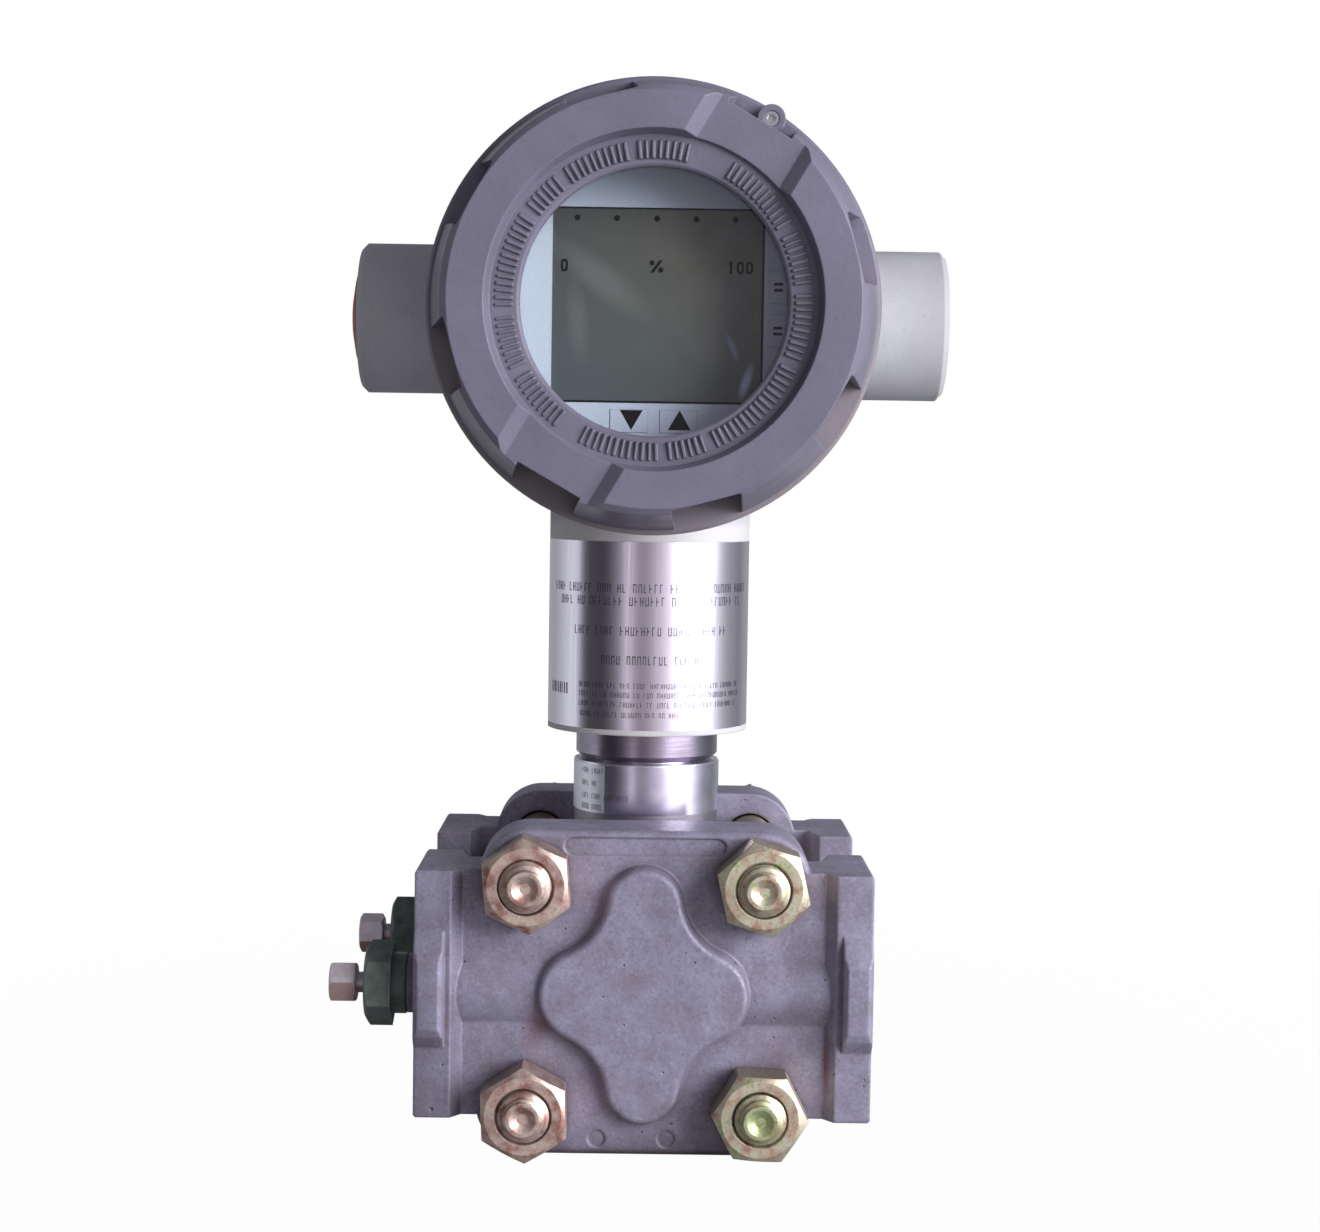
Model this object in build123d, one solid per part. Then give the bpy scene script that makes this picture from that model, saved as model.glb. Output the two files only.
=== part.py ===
from build123d import *
import math
import os

# Differential pressure transmitter: two process heads clamp a meter body, whose neck
# carries a round electronics housing with a window cap in front and a blind cap behind.
# Frame: X to the right, Y away from the viewer, Z up. The underside of the heads is at
# Z = 0, and the neck's axis is at X = 0, Y = 0. All sizes are in millimetres.

# Clearances
thread_gap = 0.03
running_gap = 0.05
soft_gap = 0.3

# Process heads
port_spacing = 54.0
bolt_spacing_x = 49.0
bolt_spacing_z = 47.8
head_corner_radius = 10.5
head_gap = 44.0
plate_thickness = 16.0
plate_edge = 1.5
flange_span = 95.6
flange_thickness = 7.6
flange_height = 52.0
flange_depth = 28.0
flange_draft = 2.2
flange_edge = 0.5
pipe_radius = 12.65
port_radius = 5.9
port_drop = 0.6
port_depth = 16.0
passage_radius = 3.0
adapter_hole_spacing = 41.3
adapter_hole_radius = 4.25
adapter_hole_depth = 10.0
lug_height = 15.5
lug_width = 6.2
lug_rise = 3.0
lug_ramp_height = 5.8
lug_foot_height = 3.5
lug_edge = 0.9
side_lobe_radius = 10.2
end_lobe_radius = 8.4
lobe_reach_x = 12.4
lobe_reach_z = 19.1
waist_radius = 14.0
clover_rise = 3.6
clover_edge = 1.2
clover_draft = 14.0
strip_length = 34.0
strip_height = 3.9
strip_depth = 0.5
strip_drop = 3.3
mark_radius = 1.9
mark_depth = 0.4
mark_height = 3.6
mark_places = (-9.4, 5.2)
chamber_radius = 17.5
chamber_depth = 3.5

# Head bolts and nuts, 7/16 in
bolt_radius = 5.55
bolt_hole_radius = 5.95
bolt_head_height = 7.0
bolt_end_reach = 2.6
bolt_tip_radius = 3.6
bolt_tip_length = 2.4
bolt_dimple_radius = 2.8
bolt_dimple_depth = 0.8
nut_across_flats = 17.46
nut_height = 9.5
nut_mouth_rise = 1.0
nut_turns = (35.0, 43.0, 32.0, 57.0)
hex_chamfer_angle = 30.0
hex_face_share = 0.92

# Meter body, its neck, diaphragms and gaskets
body_radius = 27.5
neck_radius = 16.0
neck_top = 79.8
spigot_radius = 12.5
spigot_tip = 1.0
spigot_play = 5.1
neck_bore_radius = 8.0
header_length = 12.0
header_pin_radius = 0.4
header_pin_length = 3.5
header_pin_show = 2.5
header_pin_pitch = 2.5
diaphragm_radius = 16.5
diaphragm_thickness = 0.3
diaphragm_waves = 4
diaphragm_recess = 1.2
gasket_inner_radius = 19.0
gasket_width = 3.0
gasket_thickness = 1.5
capillary_radius = 1.5

# Lock ring on the spigot
ring_gap = 0.5
lock_ring_radius = 15.75
lock_ring_height = 6.6
lock_ring_chamfer = 1.1

# Labels on the two necks
label_thickness = 0.2
neck_label_gap = 0.4
neck_label_height = 10.6
neck_label_arc = 230.0
neck_label_tail = 4.0
foil_collar = 7.0

# Vents on the left ends of the ports
plug_radius = 6.3
plug_rise = 2.3
bush_bore_radius = 3.3
bush_collar_radius = 6.5
bush_collar_edge = 0.5
bush_collar_length = 3.3
bush_across_flats = 15.7
bush_hex_length = 5.8
bush_turns = (38.8, 21.7)
vent_stem_radius = 2.2
vent_stem_show = 2.0
vent_head_across_flats = 7.94
vent_head_length = 5.7
vent_head_turns = (10.5, 45.0)
vent_seat_length = 11.0

# Electronics housing
cap_axis_height = 176.7
housing_front = 47.0
housing_rear = 33.0
housing_radius = 41.0
housing_flange_radius = 43.6
housing_flange_length = 4.0
chamber_bore_radius = 34.5
wall_front = 13.5
wall_thickness = 3.5
housing_neck_radius = 22.2
housing_rim = 1.2
socket_roof = 1.8
wire_hole_radius = 3.5
wire_hole_setback = 16.5
boss_radius = 16.4
boss_span = 128.0
boss_chamfer = 1.2
boss_root_fillet = 3.0
conduit_radius = 9.9
conduit_depth = 18.0
conduit_inner_radius = 8.4
board_post_radius = 2.6
board_post_circle = 26.0
board_post_angles = (30.0, 150.0, 270.0)

# Dust plug in the left conduit entry
dust_plug_length = 12.0
dust_plug_flange_radius = 11.6
dust_plug_dome = 2.3
dust_plug_wall = 1.4

# Screw caps
cap_ring_radius = 45.7
cap_ring_length = 5.5
cap_face_radius = 40.6
cap_lug_front_radius = 41.3
cap_lug_rear_radius = 44.7
cap_pocket_count = 8
cap_pocket_width = 14.0
cap_pocket_angle = 15.3
cap_skirt_radius = 37.0
cap_skirt_length = 11.0
cap_skirt_wall = 4.0
cap_seal_section = 2.4
cap_edge = 0.6
front_cap_depth = 25.5
rear_cap_depth = 18.5
rear_cap_wall = 5.0
face_inner_radius = 32.8
face_recess = 3.7
face_recess_wall = 0.9
window_radius = 26.0
window_lip = 2.6
groove_width = 18.6
groove_draft = 2.6
groove_depth = 2.2
groove_angle = 59.5
glass_radius = 30.0
glass_thickness = 8.0
glass_gasket = 0.8
retainer_thickness = 3.2
retainer_bore = 27.4
retainer_notch = 2.4
lock_lug_radius = 2.8
lock_lug_inset = 2.0
lock_lug_angle = 58.6
lock_lug_rise = 2.6
lock_screw_radius = 1.5
lock_screw_socket = 1.5
lock_screw_socket_depth = 1.3
lock_screw_turn = 10.0
lock_screw_inset = 0.3

# Display module
face_front = 52.0
face_thickness = 1.6
face_radius = 31.5
lcd_width = 42.0
lcd_height = 38.1
lcd_offset_x = 0.6
lcd_offset_z = 0.3
lcd_set_back = 0.5
display_board_thickness = 1.6
display_case_gap = 1.0
display_case_wall = 1.4
display_case_length = 9.0
key_travel = 0.4
key_rise = 0.2
bottom_key_x = (-4.7, 5.3)
bottom_key_z = -22.8
bottom_key_size = (7.6, 4.6)
side_key_x = 25.0
side_key_z = (4.3, -4.4)
side_key_size = (3.6, 6.6)
key_names = ("key_down", "key_up", "key_side_upper", "key_side_lower")

# Electronics module and boards behind the display
module_radius = 30.0
module_length = 9.0
module_corner = 1.5
board_thickness = 1.6
board_radius = 30.5
connector_size = (16.0, 5.0, 4.0)
post_bore_radius = 1.5
pillar_across_flats = 5.0
pillar_stud_length = 7.0

# Terminal block in the rear chamber
terminal_radius = 28.0
terminal_thickness = 9.0
terminal_seat = 6.0
terminal_step = 2.5
terminal_screw_spacing = 11.0
terminal_screw_radius = 2.0
terminal_screw_head_radius = 4.2
terminal_screw_head_height = 2.6
terminal_washer_radius = 4.7
terminal_washer_height = 0.9
terminal_screw_length = 6.0
terminal_row_rise = 4.0
terminal_rib_width = 1.2
terminal_rib_rise = 4.5
terminal_rib_reach = 7.0
slot_width = 1.0
slot_depth = 1.0
earth_screw_drop = 17.0

# Places that follow from the sizes above
head_height = bolt_spacing_z + 2 * head_corner_radius
port_z = head_height / 2
vent_z = port_z - port_drop
plate_inner = head_gap / 2
plate_outer = plate_inner + plate_thickness
port_y = port_spacing / 2
flange_inner = port_y - flange_depth / 2
flange_outer = port_y + flange_depth / 2
bolt_places = [
    (sx * bolt_spacing_x / 2, port_z + sz * bolt_spacing_z / 2)
    for sz in (1, -1)
    for sx in (-1, 1)
]
neck_label_bottom = neck_top - neck_label_gap - neck_label_height
ring_bottom = neck_top + ring_gap
ring_top = ring_bottom + lock_ring_height
rim_top = ring_top + housing_rim
foil_top = cap_axis_height - housing_radius - foil_collar
socket_top = foil_top - socket_roof
spigot_top = socket_top - spigot_play
lock_lug_circle = cap_ring_radius - lock_lug_inset
display_case_radius = cap_skirt_radius - cap_skirt_wall - display_case_gap
cap_front_y = -(housing_front + front_cap_depth)
cap_rear_y = housing_rear + rear_cap_depth


def turned_y(points, height=cap_axis_height):
    """A ring or disc about the housing's axis, from (radius, y) points."""
    face = make_face(Polyline(*points, close=True))
    return Pos(0, 0, height) * revolve(face, Axis.Y)


def turned_z(points):
    """A ring or shaft about the neck's axis, from (radius, z) points."""
    face = Plane.XZ * make_face(Polyline(*points, close=True))
    return revolve(face, Axis.Z)


def turned_x(points, y, z):
    """A shaft along X, from (x, radius) points."""
    face = make_face(Polyline(*points, close=True))
    return Pos(0, y, z) * revolve(face, Axis.X)


def rod_x(x_a, x_b, radius, y, z):
    """A plain cylinder along X between two ends."""
    rod = Rot(0, 90, 0) * Cylinder(radius, x_b - x_a)
    return Pos((x_a + x_b) / 2, y, z) * rod


def rod_y(y_a, y_b, radius, x, z):
    """A plain cylinder along Y between two ends."""
    rod = Rot(90, 0, 0) * Cylinder(radius, y_b - y_a)
    return Pos(x, (y_a + y_b) / 2, z) * rod


def rod_z(z_a, z_b, radius, x, y):
    """A plain cylinder along Z between two ends."""
    return Pos(x, y, (z_a + z_b) / 2) * Cylinder(radius, z_b - z_a)


def block(x_a, x_b, y_a, y_b, z_a, z_b):
    """A plain block between two corners."""
    size = Box(x_b - x_a, y_b - y_a, z_b - z_a)
    return Pos((x_a + x_b) / 2, (y_a + y_b) / 2, (z_a + z_b) / 2) * size


def hex_y(y_a, y_b, across_flats, x, z, turn, chamfered):
    """A hexagon bar along Y. chamfered lists the end places that are turned off."""
    radius = across_flats / math.sqrt(3)
    profile = Plane.XZ * (Rot(0, 0, turn) * RegularPolygon(radius, 6))
    bar = Pos(0, y_b, 0) * extrude(profile, y_b - y_a)
    inner = hex_face_share * across_flats / 2
    drop = (radius - inner) * math.tan(math.radians(hex_chamfer_angle))
    for end in chamfered:
        inward = 1 if end == y_a else -1
        outline = [
            (inner, end),
            (radius + drop, end),
            (radius + drop, end + inward * drop * (radius + drop - inner) / (radius - inner)),
        ]
        bar = bar - turned_y(outline, 0)
    return Pos(x, 0, z) * bar


def hex_x(x_a, x_b, across_flats, y, z, turn, chamfered):
    """A hexagon bar along X with its turned-off ends."""
    return Pos(0, y, z) * (Rot(0, 0, -90) * hex_y(x_a, x_b, across_flats, 0, 0, turn, chamfered))


def clover_outline():
    """The four-lobed boss: lobe arcs joined by concave waists, lobes blunter at the sides."""
    side = side_lobe_radius
    end = end_lobe_radius
    lobe_list = [
        (lobe_reach_x, 0, side),
        (0, lobe_reach_z, end),
        (-lobe_reach_x, 0, side),
        (0, -lobe_reach_z, end),
    ]
    lobe_ends = []
    waists = []
    for i in range(4):
        ax, az, radius_a = lobe_list[i]
        bx, bz, radius_b = lobe_list[(i + 1) % 4]
        length = math.hypot(bx - ax, bz - az)
        reach_a = radius_a + waist_radius
        reach_b = radius_b + waist_radius
        along = (length**2 + reach_a**2 - reach_b**2) / (2 * length)
        out = math.sqrt(reach_a**2 - along**2)
        cx = ax + (along * (bx - ax) + out * (bz - az)) / length
        cz = az + (along * (bz - az) - out * (bx - ax)) / length
        first = (ax + (cx - ax) * radius_a / reach_a, az + (cz - az) * radius_a / reach_a)
        last = (bx + (cx - bx) * radius_b / reach_b, bz + (cz - bz) * radius_b / reach_b)
        back_x = (first[0] + last[0]) / 2 - cx
        back_z = (first[1] + last[1]) / 2 - cz
        share = waist_radius / math.hypot(back_x, back_z)
        waists.append(ThreePointArc(first, (cx + back_x * share, cz + back_z * share), last))
        lobe_ends.append((first, last))
    lobes = []
    for i in range(4):
        ax, az, radius = lobe_list[i]
        stretch = 1 + radius / math.hypot(ax, az)
        lobes.append(ThreePointArc(lobe_ends[i - 1][1], (ax * stretch, az * stretch), lobe_ends[i][0]))
    edges = []
    for i in range(4):
        edges += [lobes[i], waists[i]]
    return make_face(edges)


def make_head():
    """The front process head, a casting with a side flange at each port."""
    x_out = flange_span / 2
    x_in = x_out - flange_thickness
    x_foot = x_in - flange_draft
    plan = Polyline(
        (x_out, -flange_outer),
        (x_in, -flange_outer),
        (x_foot, -plate_outer),
        (-x_foot, -plate_outer),
        (-x_in, -flange_outer),
        (-x_out, -flange_outer),
        (-x_out, -flange_inner),
        (-x_in, -flange_inner),
        (-x_foot, -plate_inner),
        (x_foot, -plate_inner),
        (x_in, -flange_inner),
        (x_out, -flange_inner),
        close=True,
    )
    arms = Pos(0, 0, port_z - flange_height / 2) * extrude(make_face(plan), flange_height)
    arms = chamfer(arms.edges().filter_by(Axis.Y).group_by(Axis.X)[0], flange_edge)
    arms = chamfer(arms.edges().filter_by(Axis.Y).group_by(Axis.X)[-1], flange_edge)
    plate_width = bolt_spacing_x + 2 * head_corner_radius
    outline = RectangleRounded(plate_width, head_height, head_corner_radius - 0.01)
    plate = Pos(0, -plate_inner, port_z) * extrude(Plane.XZ * outline, plate_thickness)
    plate = fillet(plate.faces().sort_by(Axis.Y)[0].edges(), plate_edge)
    pipe = rod_x(-x_in, x_in, pipe_radius, -port_y, port_z)
    free = bolt_spacing_x / 2 + bolt_radius + running_gap
    pipe = pipe - block(-free, free, -plate_inner, 0, 0, head_height)
    head = arms + plate + pipe
    clover = extrude(Plane.XZ * clover_outline(), clover_rise, taper=clover_draft)
    clover = Pos(0, -plate_outer, port_z) * clover
    clover = fillet(clover.faces().sort_by(Axis.Y)[0].edges(), clover_edge)
    head = head + clover
    low = port_z - lug_height / 2
    high = port_z + lug_height / 2
    lug_side = Polyline(
        (-port_y, low - lug_foot_height),
        (-flange_outer, low - lug_foot_height),
        (-flange_outer - lug_rise, low),
        (-flange_outer - lug_rise, high),
        (-flange_outer, high + lug_ramp_height),
        (-port_y, high + lug_ramp_height),
        close=True,
    )
    lug = extrude(Plane.YZ * make_face(lug_side), lug_width)
    lug = chamfer(lug.faces().sort_by(Axis.Y)[0].edges(), lug_edge)
    head = head + Pos(x_out - lug_width, 0, 0) * lug
    head = head + Pos(-x_out, 0, 0) * lug
    strip_z = head_height - strip_drop
    strip = Plane.XZ * SlotOverall(strip_length, strip_height)
    head = head - Pos(0, -plate_outer + strip_depth, strip_z) * extrude(strip, 2 * strip_depth)
    for mark_x in mark_places:
        deep = -plate_outer + mark_depth
        head = head - rod_y(deep - 2, deep, mark_radius, mark_x, mark_height)
    for x, z in bolt_places:
        head = head - rod_y(-plate_outer - 1, -plate_inner + 1, bolt_hole_radius, x, z)
    for side in (-1, 1):
        mouth = side * (x_out + 1)
        deep = side * (x_out - port_depth)
        head = head - rod_x(min(mouth, deep), max(mouth, deep), port_radius, -port_y, vent_z)
    head = head - rod_x(-x_out, x_out, passage_radius, -port_y, vent_z)
    for sz in (-1, 1):
        z = vent_z + sz * adapter_hole_spacing / 2
        head = head - rod_x(x_out - adapter_hole_depth, x_out + 1, adapter_hole_radius, -port_y, z)
    chamber_floor = -plate_inner - chamber_depth
    head = head - rod_y(chamber_floor, 0, chamber_radius, 0, port_z)
    groove = turned_y(
        [
            (gasket_inner_radius, -plate_inner - gasket_thickness),
            (gasket_inner_radius + gasket_width, -plate_inner - gasket_thickness),
            (gasket_inner_radius + gasket_width, 0),
            (gasket_inner_radius, 0),
        ],
        port_z,
    )
    return head - groove


def make_gasket():
    """The flat seal ring that fills the groove of the front head."""
    return turned_y(
        [
            (gasket_inner_radius, -plate_inner - gasket_thickness),
            (gasket_inner_radius + gasket_width, -plate_inner - gasket_thickness),
            (gasket_inner_radius + gasket_width, -plate_inner),
            (gasket_inner_radius, -plate_inner),
        ],
        port_z,
    )


def make_diaphragm():
    """The corrugated foil disc on the front face of the meter body."""
    rear = -plate_inner + diaphragm_recess
    rim = diaphragm_radius - running_gap
    pitch = rim / (2 * diaphragm_waves)
    front_points = []
    for i in range(2 * diaphragm_waves):
        lift = diaphragm_thickness if i % 2 else 0
        front_points.append((rim - i * pitch, rear - diaphragm_thickness - lift))
    points = [(0, rear - diaphragm_thickness)]
    points += list(reversed(front_points))
    points += [(rim, rear), (0, rear)]
    return turned_y(points, port_z)


def make_meter_body():
    """The welded cell between the heads, with the neck that carries the housing."""
    half = plate_inner
    cell = rod_y(-half, half, body_radius, 0, port_z)
    neck = rod_z(port_z, neck_top, neck_radius, 0, 0)
    spigot = turned_z(
        [
            (0, neck_top - 1),
            (spigot_radius, neck_top - 1),
            (spigot_radius, spigot_top - spigot_tip),
            (spigot_radius - spigot_tip, spigot_top),
            (0, spigot_top),
        ]
    )
    body = cell + neck + spigot
    for side in (-1, 1):
        face = side * half
        floor = side * (half - diaphragm_recess)
        body = body - rod_y(min(face, floor), max(face, floor), diaphragm_radius, 0, port_z)
        start = floor - side * half
        body = body - rod_y(min(floor, start), max(floor, start), capillary_radius, 0, port_z)
    bore_bottom = port_z + body_radius
    body = body - rod_z(bore_bottom, spigot_top + 1, neck_bore_radius, 0, 0)
    body = body - rod_z(port_z, bore_bottom, capillary_radius, 0, 0)
    return body


def make_sensor_header():
    """The potted header at the top of the neck, with its contact pins."""
    top = spigot_top
    potting = rod_z(top - header_length, top, neck_bore_radius, 0, 0)
    rows = 2
    per_row = 4
    for i in range(rows * per_row):
        x = (i % per_row - (per_row - 1) / 2) * header_pin_pitch
        y = (i // per_row - (rows - 1) / 2) * header_pin_pitch
        pin_top = top + header_pin_show
        potting = potting + rod_z(pin_top - header_pin_length, pin_top, header_pin_radius, x, y)
    return potting


def make_bolt(x, z):
    """One head bolt, its hexagon head at the back and its threaded end in front."""
    tip = -(plate_outer + nut_height + bolt_end_reach)
    shank = turned_y(
        [
            (0, tip + bolt_dimple_depth),
            (bolt_dimple_radius, tip),
            (bolt_tip_radius, tip),
            (bolt_radius, tip + bolt_tip_length),
            (bolt_radius, plate_outer + 1),
            (0, plate_outer + 1),
        ],
        0,
    )
    head = hex_y(
        plate_outer, plate_outer + bolt_head_height, nut_across_flats, 0, 0, 0,
        [plate_outer + bolt_head_height],
    )
    return Pos(x, 0, z) * (shank + head)


def make_nut(x, z, turn):
    """One heavy hexagon nut, chamfered on both faces."""
    back = -plate_outer
    front = back - nut_height
    nut = hex_y(front, back, nut_across_flats, 0, 0, turn, [front, back])
    nut = nut - rod_y(front - 1, back + 1, bolt_radius + thread_gap, 0, 0)
    reach = bolt_radius + nut_mouth_rise
    mouth = turned_y([(0, front - 1), (reach + 1, front - 1), (0, front + reach)], 0)
    return Pos(x, 0, z) * (nut - mouth)


def make_vent_parts(y, bush_turn, head_turn):
    """Port plug, green bushing and bleed screw on the left end of one port."""
    face = -flange_span / 2
    plug_end = face - plug_rise
    plug = turned_x(
        [
            (face + port_depth - 1, bush_bore_radius),
            (face + port_depth - 1, port_radius - thread_gap),
            (face, port_radius - thread_gap),
            (face, plug_radius),
            (plug_end, plug_radius),
            (plug_end, bush_bore_radius),
        ],
        y,
        vent_z,
    )
    collar_end = plug_end - bush_collar_length
    hex_end = collar_end - bush_hex_length
    collar = turned_x(
        [
            (plug_end + vent_seat_length, 0),
            (plug_end + vent_seat_length, bush_bore_radius - thread_gap),
            (plug_end, bush_bore_radius - thread_gap),
            (plug_end, bush_collar_radius - bush_collar_edge),
            (plug_end - bush_collar_edge, bush_collar_radius),
            (collar_end, bush_collar_radius),
            (collar_end, 0),
        ],
        y,
        vent_z,
    )
    nut = hex_x(hex_end, collar_end, bush_across_flats, y, vent_z, bush_turn, [hex_end])
    stem_end = plug_end + vent_seat_length - 2
    bushing = collar + nut
    bushing = bushing - rod_x(hex_end - 1, stem_end, vent_stem_radius + running_gap, y, vent_z)
    head_start = hex_end - vent_stem_show
    head_end = head_start - vent_head_length
    stem = rod_x(head_start - 1, stem_end - 1, vent_stem_radius, y, vent_z)
    ends = [head_end, head_start]
    top = hex_x(head_end, head_start, vent_head_across_flats, y, vent_z, head_turn, ends)
    return plug, bushing, stem + top


def make_lock_ring():
    """The plain jam ring between the lower neck and the housing."""
    bore = spigot_radius + thread_gap
    return turned_z(
        [
            (bore, ring_bottom),
            (lock_ring_radius - lock_ring_chamfer, ring_bottom),
            (lock_ring_radius, ring_bottom + lock_ring_chamfer),
            (lock_ring_radius, ring_top),
            (bore, ring_top),
        ]
    )


def make_neck_label():
    """The foil strip round the lower neck, with its loose end at the left."""
    inner = neck_radius
    outer = neck_radius + label_thickness
    start = 180.0
    arc_in = CenterArc((0, 0), inner, start, neck_label_arc)
    arc_out = CenterArc((0, 0), outer, start, neck_label_arc)
    band = make_face([arc_in, arc_out, Line(arc_in @ 0, arc_out @ 0), Line(arc_in @ 1, arc_out @ 1)])
    tail_x = -neck_radius - label_thickness / 2
    tail = Pos(tail_x, neck_label_tail / 2) * Rectangle(label_thickness, neck_label_tail)
    sheet = band + tail
    return Pos(0, 0, neck_label_bottom) * extrude(sheet, neck_label_height)


def make_foil():
    """The printed foil sleeve, flush in its recess round the housing's neck."""
    return turned_z(
        [
            (housing_neck_radius - label_thickness, rim_top),
            (housing_neck_radius, rim_top),
            (housing_neck_radius, foil_top),
            (housing_neck_radius - label_thickness, foil_top),
        ]
    )


def make_housing():
    """The cast housing: barrel, neck, conduit bosses and its two chambers."""
    front = -housing_front
    rear = housing_rear
    step = housing_flange_radius - housing_radius
    barrel = turned_y(
        [
            (0, front),
            (housing_flange_radius, front),
            (housing_flange_radius, front + housing_flange_length),
            (housing_radius, front + housing_flange_length + step),
            (housing_radius, rear - housing_flange_length - step),
            (housing_flange_radius, rear - housing_flange_length),
            (housing_flange_radius, rear),
            (0, rear),
        ]
    )
    bosses = rod_x(-boss_span / 2, boss_span / 2, boss_radius, 0, cap_axis_height)
    neck = rod_z(ring_top, cap_axis_height, housing_neck_radius, 0, 0)
    shell = barrel + bosses + neck
    roots = [e for e in shell.edges() if e.geom_type not in (GeomType.LINE, GeomType.CIRCLE)]
    shell = fillet(roots, boss_root_fillet)
    ends = [e for e in shell.edges().filter_by(GeomType.CIRCLE) if abs(e.center().X) > boss_span / 2 - 0.1]
    shell = chamfer(ends, boss_chamfer)
    recess = turned_z(
        [
            (housing_neck_radius - label_thickness, rim_top),
            (housing_neck_radius + 1, rim_top),
            (housing_neck_radius + 1, foil_top),
            (housing_neck_radius - label_thickness, foil_top),
        ]
    )
    shell = shell - recess
    mouth = cap_skirt_radius + running_gap
    mouth_length = cap_skirt_length + soft_gap
    front_room = turned_y(
        [
            (0, front - 1),
            (mouth, front - 1),
            (mouth, front + mouth_length),
            (chamber_bore_radius, front + mouth_length),
            (chamber_bore_radius, -wall_front),
            (0, -wall_front),
        ]
    )
    rear_room = turned_y(
        [
            (0, rear + 1),
            (mouth, rear + 1),
            (mouth, rear - mouth_length),
            (chamber_bore_radius, rear - mouth_length),
            (chamber_bore_radius, -wall_front + wall_thickness),
            (0, -wall_front + wall_thickness),
        ]
    )
    shell = shell - front_room - rear_room
    for side in (-1, 1):
        mouth_x = side * (boss_span / 2 + 1)
        deep_x = side * (boss_span / 2 - conduit_depth)
        inner_x = side * (chamber_bore_radius - 6)
        shell = shell - rod_x(
            min(mouth_x, deep_x), max(mouth_x, deep_x), conduit_radius, 0, cap_axis_height
        )
        shell = shell - rod_x(
            min(inner_x, deep_x), max(inner_x, deep_x), conduit_inner_radius, 0, cap_axis_height
        )
    shell = shell - rod_z(ring_top - 1, socket_top, spigot_radius + running_gap, 0, 0)
    shell = shell - rod_z(
        socket_top - 1, cap_axis_height - chamber_bore_radius + 4, wire_hole_radius, 0, -wire_hole_setback
    )
    duct_low = socket_top - 2 * wire_hole_radius
    shell = shell - block(
        -wire_hole_radius, wire_hole_radius, -wire_hole_setback, 0, duct_low, socket_top
    )
    for angle in board_post_angles:
        x = board_post_circle * math.cos(math.radians(angle))
        z = cap_axis_height + board_post_circle * math.sin(math.radians(angle))
        post = rod_y(-wall_front - module_length - 0.5, -wall_front, board_post_radius, x, z)
        post = post - rod_y(-wall_front - module_length - 1, -wall_front - 1, post_bore_radius, x, z)
        shell = shell + post
    return shell


def cap_outline(depth, mirror_sign):
    """Radius and y of a cap's outside, from its face back to its skirt's end."""
    base = mirror_sign * (housing_front if mirror_sign < 0 else housing_rear)
    face = base + mirror_sign * depth
    ring_front = base + mirror_sign * cap_ring_length
    skirt_end = base - mirror_sign * cap_skirt_length
    seal_root = cap_skirt_radius - cap_seal_section + 0.2
    seal_end = base - mirror_sign * (cap_seal_section + 0.2)
    return [
        (0, face),
        (cap_face_radius - cap_edge, face),
        (cap_lug_front_radius, face - mirror_sign * (cap_edge + 0.7)),
        (cap_lug_rear_radius, ring_front),
        (cap_ring_radius - cap_edge, ring_front),
        (cap_ring_radius, ring_front - mirror_sign * cap_edge),
        (cap_ring_radius, base + mirror_sign * cap_edge),
        (cap_ring_radius - cap_edge, base),
        (seal_root, base),
        (seal_root, seal_end),
        (cap_skirt_radius, seal_end),
        (cap_skirt_radius, skirt_end),
        (0, skirt_end),
    ]


def cut_pockets(cap, face, ring_front):
    """Cut the wrench pockets all round a cap, between its face and its rear ring."""
    low = min(face, ring_front)
    high = max(face, ring_front)
    outward = -1 if face < ring_front else 1
    y_a = low - 1 if outward < 0 else low
    y_b = high if outward < 0 else high + 1
    for i in range(cap_pocket_count):
        angle = cap_pocket_angle + i * 360 / cap_pocket_count
        pocket = block(
            cap_face_radius - 0.6, cap_ring_radius + 2, y_a, y_b,
            -cap_pocket_width / 2, cap_pocket_width / 2,
        )
        cap = cap - Pos(0, 0, cap_axis_height) * (Rot(0, -angle, 0) * pocket)
    return cap


def lock_place():
    """X and Z of the cap lock screw."""
    angle = math.radians(lock_lug_angle)
    return (
        lock_lug_circle * math.cos(angle),
        cap_axis_height + lock_lug_circle * math.sin(angle),
    )


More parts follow.
